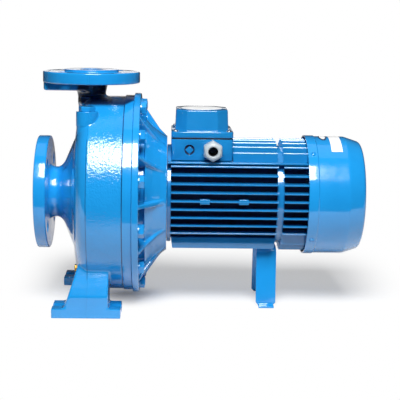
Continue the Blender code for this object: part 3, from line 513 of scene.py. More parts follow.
def blended(tree, share, low, high):
    """A colour between two, each a hex code or a wire, following a pattern."""
    ends = {6 + i: linear(end) if isinstance(end, str) else end
            for i, end in enumerate((low, high))}
    return add(tree, "ShaderNodeMix", {"data_type": "RGBA", 0: share, **ends}, 2)


def bump(tree, height, depth, over=None):
    """Relief as deep as a real depth in metres, over an earlier relief."""
    under = {"Normal": over} if over else {}
    return add(tree, "ShaderNodeBump", {"Height": height, "Distance": depth, **under})


BLUE = "1C94DC"
BLUE_DEEP = "198DD4"
MOTOR_BLUE = "1A80C0"
MOTOR_BLUE_DEEP = "1779B8"
# Painted shade under the discharge flange, on the neck and the barrel top
FLANGE_SHADE_BLUE = "152A4C"
# Painted shade in the casing's seams and in the corner before the joint ring
SEAM_SHADE_BLUE = "0C2F5E"


def new_enamel(name, low, high, worn):
    """A material in one even blue under a clear wet gloss, and the blue's wire."""
    finish, tree, shader, place = new_finish(name)
    blue = blended(tree, spread(tree, noise(tree, place, 0.045, 3), 0, 1), low, high)
    fit(tree, shader, {"Roughness": spread(tree, noise(tree, place, 0.012, 4), *worn),
                       "IOR": 1.5, "Coat Weight": 1.0, "Coat Roughness": 0.03})
    return finish, tree, shader, place, blue


def gloss_enamel(name, ripple, ripple_depth, grain, grain_depth, worn=(0.12, 0.19),
                 low=BLUE_DEEP, high=BLUE):
    """Blue machine enamel, sprayed, with orange peel over the grain that it covers."""
    finish, tree, shader, place, blue = new_enamel(name, low, high, worn)
    peel = bump(tree, noise(tree, place, ripple, 1), ripple_depth)
    cast_grain = bump(tree, noise(tree, place, grain, 3, 0.6), grain_depth, peel)
    fit(tree, shader, {"Base Color": blue, "Normal": cast_grain, "Coat Normal": peel})
    return finish


def casing_enamel():
    """The same enamel on sand-cast iron: smooth on the shoulder, gritty on the turned barrel, and
    with painted shade under the discharge flange and in the seams.
    """
    finish, tree, shader, place, blue = new_enamel("blue_gloss_enamel_on_sand_cast_iron",
                                                   BLUE_DEEP, BLUE, (0.13, 0.19))
    parts = add(tree, "ShaderNodeSeparateXYZ", {"Vector": place}, None)
    x, z = parts["X"], parts["Z"]
    parting, joint = DISCHARGE_X + PARTING_X, DISCHARGE_X + CASING_FLANGE_X
    flange_back = DISCHARGE_X + SUCTION["back"]
    under_flange = fading(tree, z, 0.306, 0.300)

    # Painted shade: the neck and the top of the barrel behind it go dark blue, standing in for the
    # shadow under the discharge flange
    off_axis = add(tree, "ShaderNodeVectorMath", {
        "operation": "DISTANCE", 0: combined(tree, X=x, Y=parts["Y"]), 1: (DISCHARGE_X, 0, 0)},
        "Value")
    on_neck = times(tree, fading(tree, z, DISCHARGE["back"] + 0.0002, DISCHARGE["back"]),
                    fading(tree, off_axis, 0.031, 0.027))
    on_top = times(tree, fading(tree, z, 0.3055, 0.3045), fading(tree, off_axis, 0.076, 0.070))
    painted_flange_shade = times(tree, fading(tree, z, 0.2895, 0.2940),
                   work_out(tree, "MAXIMUM", on_neck, on_top))

    # Painted shade: darker lines along the parting line and in the corner before the joint ring,
    # standing in for shade in these creases
    line = work_out(tree, "COMPARE", x, parting, 0.0006)
    corner = work_out(tree, "COMPARE", x, joint, 0.0008)
    painted_seam_shade = work_out(tree, "MAXIMUM", times(tree, line, 0.5, fading(tree, z, 0.252, 0.246),
                                            fading(tree, z, 0.050, 0.056)),
                     times(tree, corner, 0.8, under_flange))
    paint = blended(tree, painted_seam_shade, blended(tree, painted_flange_shade, blue, FLANGE_SHADE_BLUE), SEAM_SHADE_BLUE)

    # Grit stands on the barrel and on the back of the suction flange
    barrel = times(tree, spread(tree, x, 0, 1, parting, parting + 0.0015),
                   spread(tree, x, 0, 1, joint, joint - 0.001), under_flange,
                   fading(tree, z, 0.030, 0.100))
    back = times(tree, fading(tree, x, flange_back - 0.0004, flange_back),
                 fading(tree, x, flange_back + 0.0010, flange_back + 0.0004), 2.0)
    amount = work_out(tree, "MAXIMUM", back, spread(tree, barrel, 0.08, 1.0, 0.0, 1.0))
    peel = bump(tree, noise(tree, place, 0.008, 1), 0.00006)
    seam = bump(tree, times(tree, line, -1.0), 0.0006, peel)
    grit = bump(tree, times(tree, noise(tree, place, 0.0027, 1, 0.6), amount), 0.00052, seam)
    fit(tree, shader, {"Base Color": paint, "Normal": grit, "Coat Normal": grit})
    return finish


def plain_finish(name, low, high, roughness, metallic=0.0, lump=0.004, depth=0.00005):
    """A finish whose colour drifts between two close codes, with fine relief of its own making."""
    finish, tree, shader, place = new_finish(name)
    tone = noise(tree, place, lump, 4, 0.6)
    fit(tree, shader, {
        "Base Color": blended(tree, spread(tree, tone, 0, 1), low, high),
        "Roughness": spread(tree, tone, roughness - 0.05, roughness + 0.05),
        "Normal": bump(tree, noise(tree, place, lump / 4, 3), depth),
        "Metallic": metallic, "IOR": 1.5})
    return finish


# Cast iron under enamel, still gritty where the mould left it
casing_paint = casing_enamel()
# Cast bracket: same enamel over a finer skin
bracket_paint = gloss_enamel("blue_gloss_enamel_on_cast_bracket", 0.008, 0.00008, 0.0018, 0.00006)
# Die-cast aluminium motor body: nearly smooth under the enamel
motor_paint = gloss_enamel("blue_gloss_enamel_on_die_cast_aluminium", 0.008, 0.00006, 0.0012,
                           0.00002, low=MOTOR_BLUE_DEEP, high=MOTOR_BLUE)
# Painted shade: a dark blue standing in for the shade deep between the fins and inside the blank
# entry
painted_shade_blue = plain_finish("thin_blue_overspray_on_dark_aluminium", "1B2A45", "22355A", 0.6)
# Pressed sheet steel of the fan cover and stand: smooth, long soft ripples
sheet_paint = gloss_enamel("blue_gloss_enamel_on_pressed_steel", 0.012, 0.00006, 0.002, 0.00001,
                           (0.14, 0.21))
# Free-cutting brass, machined, slightly dulled
brass = plain_finish("machined_brass", "A8803A", "C79A4C", 0.32, 1.0, 0.002)
# Zinc-plated steel screws, satin
zinc = plain_finish("zinc_plated_steel", "B9BCC0", "D2D4D6", 0.3, 1.0, 0.002)
# Ground bright steel of the shaft and the impeller nut
steel = plain_finish("ground_bright_steel", "A9ABAE", "C4C6C8", 0.26, 1.0, 0.003)
# Cast iron of the impeller, as cast and wetted dark
iron = plain_finish("grey_cast_iron_as_cast", "3C3E40", "54565A", 0.62, 0.8, 0.003, 0.0002)
# Moulded light grey polyamide of the cable gland, satin
polyamide = plain_finish("moulded_light_grey_polyamide", "AAB4BA", "B9C2C7", 0.30, 0.0, 0.006,
                         0.00003)
# Black nitrile rubber of gasket and gland seal, matte
rubber = plain_finish("black_nitrile_rubber", "131315", "1E1E20", 0.72, 0.0, 0.002, 0.00003)
# Black moulded polypropylene of the fan, satin
fan_plastic = plain_finish("black_moulded_polypropylene", "17181A", "232427", 0.45, 0.0, 0.008,
                           0.00003)
# White self-adhesive film of the bare labels, satin, a little uneven
film = plain_finish("white_vinyl_film", "E2E3E4", "F1F1F0", 0.35, 0.0, 0.010, 0.00002)
# Dark blue printing ink of the ring round the small label, matte
ink = plain_finish("dark_printing_ink", "25324A", "2C3A55", 0.5, 0.0, 0.002, 0.00001)


# Fasteners

def hex_bolt(across_flats, head, washer_r, washer_t):
    """A hexagon head with its washer, standing on its seat along +X."""
    top = washer_t + head
    corner_r = across_flats / math.sqrt(3)
    bolt = joined(
        "hex_bolt", band("head", 0, corner_r, washer_t - 0.0001, top, (0, 0.0008), 6, UPRIGHT),
        turned("crown", [(0, top + 0.0006), (across_flats * 0.34, top + 0.0006),
                         (across_flats * 0.40, top - 0.0001), (0, top - 0.0001)], 28, UPRIGHT),
        band("washer", 0, washer_r, 0, washer_t, (0, 0.0003), 32, UPRIGHT))
    bolt.data.transform(ALONG_X)
    return bolt


def pan_screw(radius, height):
    """A domed screw head with a straight driver slot, standing along its local Z."""
    dome = [(0, height)]
    for step in range(1, 6):
        angle = math.pi / 2 * step / 5
        dome.append((radius * math.sin(angle), height * (0.35 + 0.65 * math.cos(angle))))
    head = turned("pan_screw", dome + [(radius, 0), (0, 0)], 24, UPRIGHT)
    return without(head, block("slot", (-radius * 1.2, -radius * 0.13, height * 0.55),
                               (radius * 1.2, radius * 0.13, height * 1.5)))


def ring_of(name, piece, count, circle_r, station, start_angle, finish):
    """Copies of a piece on a circle round the shaft, in place of the piece."""
    copies = grown(name, ring, piece=piece, count=count, circle_radius=circle_r, station=station,
                   start_angle=start_angle, axis_height=SHAFT_Z, finish=finish)
    bpy.data.objects.remove(piece)
    return copies


# Castings

def casing_body():
    """Suction neck flaring into the rounded shoulder and the barrel."""
    flare = flowing([(0.0385, -0.0575), (0.0371, -0.0520), (0.0376, -0.0466), (0.0436, -0.0400),
                     (0.0580, -0.0333), (0.0732, -0.0268), (0.0850, -0.0218),
                     (0.0970, CASING_FRONT_X), (0.1080, -0.0184), (0.1190, -0.0163),
                     (0.1290, -0.0122), (0.1363, -0.0067), (CASING_R, PARTING_X)])
    outline = [(0, -0.068), (0.040, -0.068), (0.042, -0.0605)] + flare
    outline += [(CASING_R, CASING_FLANGE_X + 0.003), (0, CASING_FLANGE_X + 0.003)]
    return turned("casing_body", outline, 160)


def discharge_neck():
    """Upright neck, flared at its foot and under its flange."""
    side = flowing([(0.0270, 0.3235), (0.0236, 0.3190), (0.0222, 0.3130), (0.0207, 0.3060),
                    (0.0196, 0.3000), (0.0190, 0.2950), (0.0188, 0.2500)])
    neck = turned("neck", [(0, 0.328), (0.027, 0.328)] + side + [(0, 0.250)], 72, UPRIGHT)
    foot = flowing([(0.0195, 0.3060), (0.0207, 0.3035), (0.0228, 0.3018), (0.0262, 0.3006)])
    skirt = turned("skirt", foot + [(0.0262, 0.290), (0, 0.290), (0, 0.3060)], 72, UPRIGHT)
    for vertex in skirt.data.vertices:
        vertex.co.x = max(vertex.co.x, -0.020 + 0.25 * abs(vertex.co.y))
    return joined("neck", neck, skirt)


def casing_foot(side):
    """One foot plate and the leg that leans in from it to the casing."""
    plate_y = sorted((side * (FOOT_Y - 0.025), side * (FOOT_Y + 0.025)))
    plate = block("plate", (-FOOT_HALF_LENGTH, plate_y[0], 0),
                  (FOOT_HALF_LENGTH, plate_y[1], FOOT_T))
    outline = rounded([(0.031, FOOT_T - 0.002, 0), (0.031, 0.090, 0), (-0.0065, 0.090, 0),
                       (-0.0306, FOOT_T, 0.006), (-0.0365, FOOT_T, 0),
                       (-0.0365, FOOT_T - 0.002, 0)])
    leg = prism("leg", outline, -0.5, 0.5, OUT_SIDEWAYS)
    shape = bmesh.new()
    shape.from_mesh(leg.data)
    bmesh.ops.bisect_plane(shape, geom=shape.verts[:] + shape.edges[:] + shape.faces[:],
                           plane_co=(0, 0, LEG_FOLD_Z), plane_no=(0, 0, 1))
    for vertex in shape.verts:
        rise = max(0, vertex.co.z - LEG_FOLD_Z)
        outward = vertex.co.y * side > 0
        vertex.co.y = side * (LEG_OUTER_Y - LEG_LEAN * rise if outward else LEG_INNER_Y)
    shape.to_mesh(leg.data)
    shape.free()
    return plate, leg


def slot_cutter(side, end):
    """An open bolt slot at one end of a foot."""
    outline = rounded([(0.052, -0.0072, 0), (0.052, 0.0072, 0), (0.028, 0.0070, 0.0069),
                       (0.028, -0.0070, 0.0069)])
    turn = Matrix.Rotation(0 if end > 0 else math.pi, 4, "Z")
    return prism("slot", outline, -0.005, 0.030, at(0, side * FOOT_Y, 0) @ turn)


def hole_ring(circle_r, low, high, place):
    """Cutters for flange bolt holes, astride the main planes."""
    cutters = []
    for i in range(BOLT_HOLES):
        angle = math.pi / BOLT_HOLES + math.tau * i / BOLT_HOLES
        spot = at(circle_r * math.cos(angle), circle_r * math.sin(angle), 0)
        cutters.append(band("hole", 0, BOLT_HOLE_R, low, high, steps=32, place=place @ spot))
    return joined("holes", *cutters)


def pipe_flange(name, place, bore_r, face_r, rim_r, circle_r, face, rim, back):
    """A drilled pipe flange with its raised face, machined edges and a cast back."""
    outline = rounded([(bore_r, face, 0.0008), (face_r, face, 0.0006), (face_r, rim, 0.0010),
                       (rim_r, rim, 0.0018), (rim_r, back, 0.0018),
                       (bore_r + 0.013, back, 0), (bore_r, back + (back - rim) * 0.3, 0)])
    low, high = sorted((face + (face - rim), back + (back - rim) * 0.2))
    return without(turned(name, outline, FINE, place), hole_ring(circle_r, low, high, place))


def build_casing():
    """The whole casing casting, bored, slotted and drilled."""
    lug_rim = 0.0693
    half = math.asin(0.022 / lug_rim)
    lug_outline = [(lug_rim * math.cos(math.pi + half * k / 6),
                    lug_rim * math.sin(math.pi + half * k / 6)) for k in range(-6, 7)]
    lug = prism("lug", lug_outline + [(0, -0.022), (0, 0.022)], 0.3096, 0.3245)
    boss = turned("boss", [(0, 0.2845), (0.0148, 0.2845), (0.0148, 0.2500), (0.0160, 0.240),
                           (0, 0.240)], 48, at(PRIMING_X, PRIMING_Y, 0))
    shells = [casing_body(), discharge_neck(), lug, boss]
    for side in (-1, 1):
        shells += casing_foot(side)
    body = cast(joined("casing_skin", *shells), 0.0015, 6, 100000)
    inside = turned("inside", [(0, -0.09), (SUCTION["bore_r"], -0.09), (SUCTION["bore_r"], -0.014),
                               (WEAR_RING_R, -0.0095), (WEAR_RING_R, CAVITY_X),
                               (CAVITY_R, CAVITY_X), (CAVITY_R, 0.0495), (REGISTER_R, 0.0495),
                               (REGISTER_R, 0.060), (0, 0.060)], 96)
    bore = band("bore", 0, DISCHARGE["bore_r"], 0.250, 0.345, steps=64, place=UPRIGHT)
    slots = [slot_cutter(side, end) for side in (-1, 1) for end in (-1, 1)]
    without(body, inside, bore, *slots, solver="MANIFOLD")
    suction = pipe_flange("suction_flange", TO_SHAFT, **SUCTION)
    discharge = pipe_flange("discharge_flange", UPRIGHT, **DISCHARGE)
    joint = band("joint_ring", REGISTER_R, CASING_FLANGE_R, CASING_FLANGE_X, JOINT_X,
                 (0.0009, 0.0007))
    spot_face = band("spot_face", 0.0086, 0.0151, PRIMING_TOP_Z - 0.020, PRIMING_TOP_Z,
                     (0, 0.0007), 64, at(PRIMING_X, PRIMING_Y, 0))
    drain_boss = turned("drain_boss", rounded([
        (0, CASING_FRONT_X + 0.004, 0), (0.0095, CASING_FRONT_X + 0.004, 0),
        (0.0085, -0.0209, 0.0008), (0, -0.0209, 0)]), 48, at(0, 0, -DRAIN_DROP) @ TO_SHAFT)
    return joined("casing", body, suction, discharge, joint, spot_face, drain_boss)


def build_lantern():
    """The ribbed cone between casing and motor, with its bolting flange and small end."""
    cone = turned("cone", [(0.090, 0.066), (0.104, 0.066), (0.104, PANEL_X), (0.1125, PANEL_X),
                           (0.1000, 0.0912), (0.0905, 0.1015), (0.0838, 0.1107),
                           (0.070, 0.1107)], FINE)
    rib = prism("rib", rounded([(0.060, 0.0690, 0), (0.1365, 0.0690, 0), (0.1350, 0.0735, 0.004),
                                (0.1234, 0.0804, 0.02), (0.0952, 0.0995, 0.030),
                                (0.0850, 0.1095, 0.003), (0.060, 0.1100, 0)]), -0.003, 0.003,
                Matrix(((0, 1, 0, 0), (0, 0, 1, 0), (1, 0, 0, 0), (0, 0, 0, 1))))
    ribs = ring_of("ribs", rib, RIBS, 0.0, 0.0, 0.0, bracket_paint)
    web = cast(joined("lantern_web", cone, ribs), 0.0012, 4, 110000)
    flange = turned("lantern_flange", rounded([
        (0.104, LANTERN_X, 0), (LANTERN_FLANGE_R, LANTERN_X, 0.0007),
        (LANTERN_FLANGE_R, LANTERN_BACK_X, 0.0014), (0.100, LANTERN_BACK_X, 0)]), FINE)
    cover = turned("cover", rounded([(SHAFT_BORE_R, 0.0498, 0), (0.1177, 0.0498, 0.001),
                                     (0.1177, LANTERN_X + 0.002, 0), (SHAFT_BORE_R, 0.066, 0)]), 96)
    core = turned("seal_housing", [(SHAFT_BORE_R, 0.066), (0.095, 0.066), (0.095, 0.070),
                                   (0.075, 0.1102), (SHAFT_BORE_R, 0.1102)], 96)
    rim = turned("small_end", rounded([(0.070, 0.1060, 0), (0.0848, 0.1060, 0.0008),
                                       (0.0844, LANTERN_END_X, 0.0008),
                                       (0.070, LANTERN_END_X, 0)]), FINE)
    return joined("lantern", web, flange, cover, core, rim)


def fin_blade(low, high):
    """One fin along the shaft, one unit high, thinner and rounded at its tip."""
    section = [(-0.0018, 0.0), (-0.0014, 0.93), (-0.0011, 0.975), (-0.0006, 0.995), (0, 1.0),
               (0.0006, 0.995), (0.0011, 0.975), (0.0014, 0.93), (0.0018, 0.0)]
    across = Matrix(((0, 0, 1, 0), (1, 0, 0, 0), (0, 1, 0, 0), (0, 0, 0, 1)))
    return prism("blade", section, low, high, across)


def build_motor():
    """Motor body: fins, the bare rings at its front and in the groove, rails, pad and bosses."""
    shells = []
    for low, high in ((0.1110, FRONT_FINS_X), (GROOVE_X - 0.001, GROOVE_END_X + 0.001)):
        shells.append(band("bare_ring", 0.060, CORE_R - 0.0003, low, high, (0.0008, 0.0008)))
    banks = [(FRONT_FINS_X - 0.0004, GROOVE_X, (1, 3)), (BOX_END_X + 0.0004, GROOVE_X, (0,)),
             (GROOVE_END_X, FRAME_END_X - 0.0003, (0, 1, 2, 3))]
    for low, high, sides in banks:
        blade = fin_blade(low, high)
        for side in sides:
            shells.append(grown("fins", fin_bank, blade=blade, count=FINS, pitch=FIN_PITCH,
                                tip_radius=FIN_TIP_R, root_radius=FIN_ROOT_R,
                                side=side * math.pi / 2, axis_height=SHAFT_Z,
                                finish=motor_paint))
        bpy.data.objects.remove(blade)
    pad = block("base_pad", (FRONT_FINS_X + 0.0003, -0.050, PAD_BOTTOM_Z),
                (GROOVE_X - 0.0003, 0.050, PAD_TOP_Z), 0.0010)
    for vertex in pad.data.vertices:
        depth = (PAD_TOP_Z - vertex.co.z) / (PAD_TOP_Z - PAD_BOTTOM_Z)
        vertex.co.x += math.copysign(PAD_END_DRAFT * depth, (FRONT_FINS_X + GROOVE_X) / 2
                                     - vertex.co.x)
    shells.append(pad)
    shells.append(block("box_seat", (0.1172, -0.046, 0.200), (0.2050, 0.046, 0.2147), 0.001))
    for side in (-1, 1):
        ends = sorted((side * 0.040, side * 0.0645))
        shells.append(block("rail", (0.1113, ends[0], RAIL_Z - 0.00125),
                            (0.3114, ends[1], RAIL_Z + 0.00125), 0.0006))
        for station in BOSS_STATIONS:
            reach = sorted((side * 0.064, side * 0.0822))
            shells.append(block("boss", (station - 0.007, reach[0], SHAFT_Z - 0.0035),
                                (station + 0.007, reach[1], SHAFT_Z + 0.0035), 0.0007))
    return joined("motor_body", *shells)


def build_cover():
    """Pressed fan cover: lipped sleeve, rounded taper and the ring grille at its end."""
    inside_x = COVER_END_X - COVER_T
    outer = [(COVER_LIP_R, COVER_LIP_X, 0), (COVER_LIP_R, COVER_STEP_X - 0.0010, 0.0008),
             (COVER_R, COVER_STEP_X, 0.0006), (COVER_R, COVER_TAPER_X, 0.014),
             (COVER_END_R, COVER_END_X, 0.007), (GRILLE_OUTER_R, COVER_END_X, 0)]
    inner = [(GRILLE_OUTER_R, inside_x, 0), (COVER_END_R - 0.0015, inside_x, 0.006),
             (COVER_R - COVER_T, COVER_TAPER_X - 0.0005, 0.012),
             (COVER_R - COVER_T, COVER_STEP_X, 0),
             (COVER_LIP_R - COVER_T, COVER_STEP_X - 0.0012, 0),
             (COVER_LIP_R - COVER_T, COVER_LIP_X, 0)]
    shell = turned("cover", rounded(outer + inner, facet=math.radians(5)), FINE)
    step = (GRILLE_OUTER_R - GRILLE_INNER_R + GRILLE_BAR) / 5
    rings = grown("rings", grille_tree(), count=6, inner_radius=GRILLE_INNER_R - GRILLE_BAR / 2,
                  ring_step=step, bar=GRILLE_BAR, depth=COVER_T, finish=sheet_paint)
    rings.data.transform(at(COVER_END_X - COVER_T / 2, 0, SHAFT_Z) @ ALONG_X)
    hub = band("hub", 0, 0.0128, inside_x, COVER_END_X, (0.0005, 0.0005), 64)
    spokes = []
    for i in range(4):
        bar = block("spoke", (inside_x, -GRILLE_BAR / 2, 0.012),
                    (COVER_END_X, GRILLE_BAR / 2, GRILLE_OUTER_R + 0.001), 0.0003, 1)
        bar.data.transform(at(0, 0, SHAFT_Z)
                           @ Matrix.Rotation(math.tau * i / 4 + math.pi / 4, 4, "X"))
        spokes.append(bar)
    return joined("cover", shell, rings, hub, *spokes)


def domed_nut():
    """Gland nut: a hexagon whose corners fade into a rounded front face."""
    stations = [(-0.0563, 0.0124, 0.0138), (-0.0570, 0.0130, 0.0147), (-0.0675, 0.0130, 0.0147),
                (-0.0702, 0.0127, 0.0136), (-0.0725, 0.0117, 0.0121), (-0.0738, 0.0105, 0.0106),
                (-0.0743, 0.0093, 0.0093), (-0.0743, 0.0078, 0.0078), (-0.0738, 0.0071, 0.0071),
                (-0.0690, 0.0068, 0.0068), (-0.0565, 0.0067, 0.0067)]
    sides = 96
    shape = bmesh.new()
    rings = []
    for y, flat, corner in stations:
        rings.append([])
        for i in range(sides):
            angle = math.tau * i / sides
            turn = (angle + math.pi / 6) % (math.pi / 3) - math.pi / 6
            reach = min(flat / math.cos(turn), corner)
            rings[-1].append(shape.verts.new((GLAND_X + reach * math.cos(angle), y,
                                              ENTRY_Z + reach * math.sin(angle))))
    for k in range(len(rings)):
        for i in range(sides):
            shape.faces.new((rings[k - 1][i - 1], rings[k - 1][i], rings[k][i], rings[k][i - 1]))
    return from_shape("gland_nut", shape)


def curved_label(ends, angles, radius, is_round):
    """A thin film patch that follows the fan cover's barrel."""
    rows, columns = 20, 12
    shape = bmesh.new()
    sheets = []
    for reach in (radius + 0.00002, radius + 0.00025):
        grid = {}
        for i, j in itertools.product(range(rows + 1), range(columns + 1)):
            u, v = i / rows, j / columns
            if is_round:
                a, b = 2 * u - 1, 2 * v - 1
                u = 0.5 + 0.5 * a * math.sqrt(1 - b * b / 2)
                v = 0.5 + 0.5 * b * math.sqrt(1 - a * a / 2)
            angle = math.radians(angles[0] + (angles[1] - angles[0]) * u)
            grid[i, j] = shape.verts.new((ends[0] + (ends[1] - ends[0]) * v,
                                          -reach * math.sin(angle),
                                          SHAFT_Z + reach * math.cos(angle)))
        for i, j in itertools.product(range(rows), range(columns)):
            shape.faces.new((grid[i, j], grid[i + 1, j], grid[i + 1, j + 1], grid[i, j + 1]))
        sheets.append(grid)
    rim = ([(i, 0) for i in range(rows)] + [(rows, j) for j in range(columns)]
           + [(i, columns) for i in range(rows, 0, -1)] + [(0, j) for j in range(columns, 0, -1)])
    low, high = sheets
    for here, after in zip(rim, rim[1:] + rim[:1]):
        shape.faces.new((low[here], low[after], high[after], high[here]))
    return from_shape("label", shape)


ring = ring_tree()
fin_bank = fin_tree()

hand_over(build_casing(), "casing_casting", casing_paint, "blue_paint", "volute_casing")
hand_over(build_lantern(), "ribbed_lantern", bracket_paint, "blue_paint", "lantern_bracket")
hand_over(build_motor(), "finned_motor_body", motor_paint, "blue_paint", "motor_frame")
# Sleeve over the core between the fins, in dark painted shade
hand_over(band("sleeve", SHAFT_BORE_R, SLEEVE_R, 0.1112, FRAME_END_X), "motor_core_sleeve",
          painted_shade_blue, "blue_paint")
hand_over(build_cover(), "fan_cover_pressing", sheet_paint, "blue_paint", "fan_cover")

# Twelve hexagon bolts hold the lantern to the casing, one in each bay between ribs
bolt = hex_bolt(across_flats=0.0165, head=0.0062, washer_r=0.0098, washer_t=0.0016)
hand_over(ring_of("bolts", bolt, RIBS, BOLT_CIRCLE_R, LANTERN_BACK_X + 0.0001, math.pi / RIBS,
                  bracket_paint), "lantern_bolts", bracket_paint, "blue_paint")

# Filling plug: a hexagon on a collar, screwed into the shoulder boss
collar = [(0, 0.0012), (0.0106, 0.0012), (0.0106, 0.0001), (0.0082, 0.0001), (0.0082, -0.010),
          (0, -0.010)]
cap = joined("cap", turned("collar", collar, 48, UPRIGHT), band(
    "hexagon", 0, 0.0118, 0.0009, 0.0073, (0, 0.0009), 6,
    Matrix.Rotation(math.radians(-6.5), 4, "Z")))
cap.data.transform(at(PRIMING_X, PRIMING_Y, PRIMING_TOP_Z))
hand_over(cap, "priming_cap", bracket_paint, "blue_paint", "priming_plug")

# Blanking plug at the bottom of its entry, with a square to turn it by; the disc is painted shade,
# dark for the shade inside the recess
out_of_wall = at(BLANK_X, BLANK_BACK_Y, ENTRY_Z) @ OUT_SIDEWAYS
hand_over(band("disc", 0, 0.0072, 0, 0.0006, (0, 0.0002), 48, out_of_wall), "blank_entry_plug",
          painted_shade_blue, "blue_paint", "entry_blanking_plug")
square = turned("square", rounded([(0, 0.0007, 0), (0.0064, 0.0007, 0), (0.0058, 0.0022, 0.0005),
                                   (0, 0.0022, 0)]), 4,
                out_of_wall @ at(0, -0.0006, 0))
hand_over(square, "blank_plug_square", motor_paint, "blue_paint")
hand_over(domed_nut(), "gland_nut", polyamide, "grey_plastic", "cable_gland_nut")

# Parts that keep the CAD's shape and only lose their sharp edges
for node, edge, name, finish, slot in (
        ("drain_plug", 0.0005, "drain_plug_turned", brass, "brass"),
        ("terminal_box_base", 0.0008, "terminal_box_housing", motor_paint, "blue_paint"),
        ("terminal_box_lid", 0.0011, "terminal_box_cover", motor_paint, "blue_paint"),
        ("terminal_box_gasket", 0.0003, "terminal_box_seal", rubber, "black_rubber"),
        ("cable_gland_body", 0.0005, "gland_body", polyamide, "grey_plastic"),
        ("cable_gland_seal", 0.0004, "gland_seal", rubber, "black_rubber"),
        ("motor_stand", 0.0008, "motor_stand_strip", sheet_paint, "blue_paint"),
        ("rear_end_shield", 0.0008, "bearing_shield", motor_paint, "blue_paint")):
    hand_over(softened(cad_copy(node), edge), name, finish, slot, node)

# Lid screws in the corners that the eight-sided cover leaves free
screw = pan_screw(radius=0.0038, height=0.0026)
lid_screws = grown("lid_screws", screw_tree(), piece=screw, length=0.0760, width=0.0870,
                   middle=((BOX_X + BOX_END_X) / 2, 0, LID_FLANGE_TOP_Z), finish=zinc)
bpy.data.objects.remove(screw)
hand_over(lid_screws, "lid_screw_heads", zinc, "bright_steel")

# Cover screws on the lip, four round the shaft
screw = pan_screw(radius=0.0036, height=0.0022)
hand_over(ring_of("cover_screws", screw, 4, COVER_LIP_R - 0.0003, COVER_SCREW_X,
                  math.radians(39.7), sheet_paint),
          "cover_screw_heads", sheet_paint, "blue_paint")

# Bare labels: a disc on the lid, a strip and a small ringed mark on the cover
hand_over(band("disc", 0, 0.0300, 0.0001, 0.0006, (0, 0.0002), 96,
               at(LID_MIDDLE_X, 0, LID_TOP_Z)), "bare_lid_disc", film, "grey_plastic")
for name, ends, angles, lift, is_round, finish, slot in (
        ("bare_cover_label", (0.346, 0.362), (-4, 36), 0, False, film, "grey_plastic"),
        ("printed_ring", (0.3313, 0.3430), (-6, 15.5), 0, True, ink, "black_plastic"),
        ("bare_round_label", (0.3329, 0.3414), (-3.5, 12.5), 0.0003, True, film, "grey_plastic")):
    hand_over(curved_label(ends, angles, COVER_R + lift, is_round), name, finish, slot)

# What can't be seen from outside keeps its CAD mesh
for node, finish in (("impeller", iron), ("impeller_nut", steel), ("pump_shaft", steel),
                     ("cooling_fan", fan_plastic)):
    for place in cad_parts[node].material_slots:
        place.material = finish


# Studio

def build_floor():
    """A pale sheet, white to the camera but for the shadow behind and under the pump."""
    floor = block("floor", (-3.0, -0.42, -0.010), (3.0, 3.0, -FLOOR_GAP), 0.002)
    finish, tree, shader, place = new_finish("matt_white_paper")
    fibre = noise(tree, place, 0.004, 4)
    fit(tree, shader, {"Base Color": blended(tree, spread(tree, fibre, 0, 1), "F2F2F3", "F8F8F8"),
                       "Normal": bump(tree, fibre, 0.00002), "Roughness": 0.7,
                       "Specular IOR Level": 0.2})
    parts = add(tree, "ShaderNodeSeparateXYZ", {"Vector": place}, None)
    path = add(tree, "ShaderNodeLightPath", give=None)

    # The picture's shadow: a broad one behind the pump and a dark one where the casing comes down
    aside = work_out(tree, "ABSOLUTE", work_out(tree, "SUBTRACT", parts["X"], 0.03))
    broad = times(tree, fading(tree, parts["Y"], -0.06, 0.04), fading(tree, parts["Y"], 0.42, 0.18),
                  fading(tree, aside, 0.325, 0.21), 0.61)
    off_casing = add(tree, "ShaderNodeVectorMath", {
        "operation": "DISTANCE", 0: place, 1: (-0.095, 0.005, 0)}, "Value")
    shaded = work_out(tree, "ADD", broad, times(tree, fading(tree, off_casing, 0.075, 0.015), 0.33))
    white = work_out(tree, "SUBTRACT", 1.0, shaded)

    # In the paint's reflections the floor is bright in front of the pump only
    front = times(tree, path["Is Glossy Ray"], 0.85, fading(tree, parts["Y"], -0.08, -0.16))
    share = work_out(tree, "MAXIMUM", times(tree, white, path["Is Camera Ray"]), front)
    bounce = add(tree, "ShaderNodeMixShader", {
        0: times(tree, path["Is Diffuse Ray"], 0.25), 1: shader.outputs[0],
        2: add(tree, "ShaderNodeEmission", {"Strength": 0.0})})
    glow = add(tree, "ShaderNodeEmission", {"Strength": 1.0, "Color": (1, 1, 1, 1)})
    fit(tree, tree.nodes["Material Output"], {"Surface": add(
        tree, "ShaderNodeMixShader", {0: share, 1: bounce, 2: glow})})
    floor.data.materials.append(finish)


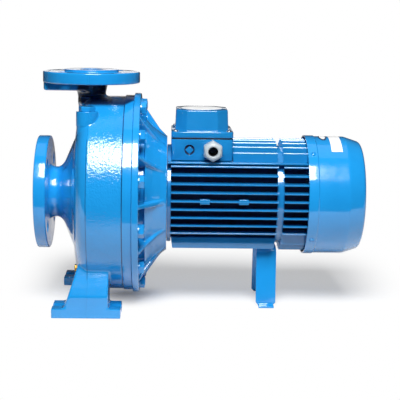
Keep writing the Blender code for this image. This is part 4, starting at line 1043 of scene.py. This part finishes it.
def build_world():
    """White to the eye, with a low pale backdrop in reflections and a dark room all round."""
    world = bpy.data.worlds.new("studio")
    bpy.context.scene.world = world
    world.use_nodes = True
    tree = world.node_tree
    way = add(tree, "ShaderNodeTexCoord", give="Generated")
    parts = add(tree, "ShaderNodeSeparateXYZ", {"Vector": way}, None)
    path = add(tree, "ShaderNodeLightPath", give=None)
    level = spread(tree, parts["Y"], 0.02, 0.04, -0.25, 0.25)
    backdrop = times(tree, path["Is Glossy Ray"], *[
        fading(tree, parts[axis], start, end) for axis, start, end in (
            ("Z", 0.115, 0.088), ("Z", 0.015, 0.035), ("Y", 0.80, 0.90),
            ("X", 0.110, 0.085), ("X", -0.20, -0.15))])
    fill = times(tree, fading(tree, parts["Y"], 0.2, 0.7), 0.6, path["Is Diffuse Ray"])
    for light in (backdrop, fill, path["Is Camera Ray"]):
        level = work_out(tree, "MAXIMUM", level, light)
    fit(tree, tree.nodes["Background"], {"Color": (1, 1, 1, 1), "Strength": level})


def add_softbox(name, spot, target, size, power):
    """A plain white softbox that faces a target."""
    light = bpy.data.lights.new(name, "AREA")
    light.shape = "RECTANGLE"
    light.size, light.size_y = size
    light.energy = power
    box = bpy.data.objects.new(name, light)
    box.location = spot
    box.rotation_euler = (Vector(target) - Vector(spot)).to_track_quat("-Z", "Y").to_euler()
    bpy.context.scene.collection.objects.link(box)


def add_camera():
    """The camera of the picture: a little above the shaft, square to it and 1.6 m away."""
    pitch, yaw, roll = (math.radians(a) for a in (9.468, -1.671, 0.950))
    forward = Vector((-math.sin(yaw) * math.cos(pitch), math.cos(yaw) * math.cos(pitch),
                      -math.sin(pitch)))
    level = Vector((math.cos(yaw), math.sin(yaw), 0))
    upright = level.cross(forward)
    right = math.cos(roll) * level + math.sin(roll) * upright
    up = math.cos(roll) * upright - math.sin(roll) * level
    lens = bpy.data.cameras.new("catalogue_camera")
    lens.lens = 98.41
    lens.sensor_width = 36
    camera = bpy.data.objects.new("catalogue_camera", lens)
    camera.matrix_world = at(-0.0429, -1.5982, 0.4161) @ Matrix(
        (right, up, -forward)).transposed().to_4x4()
    bpy.context.scene.collection.objects.link(camera)
    bpy.context.scene.camera = camera


build_floor()
build_world()
add_softbox("key_softbox", (0.0, -1.124, 1.497), (0, -0.10, 0.23), (0.88, 0.85), 47.5)
add_softbox("top_softbox", (0.0, 0.30, 1.60), (0, 0, 0.1), (1.2, 1.0), 1.5)
add_camera()
bpy.context.scene.view_settings.view_transform = "Standard"
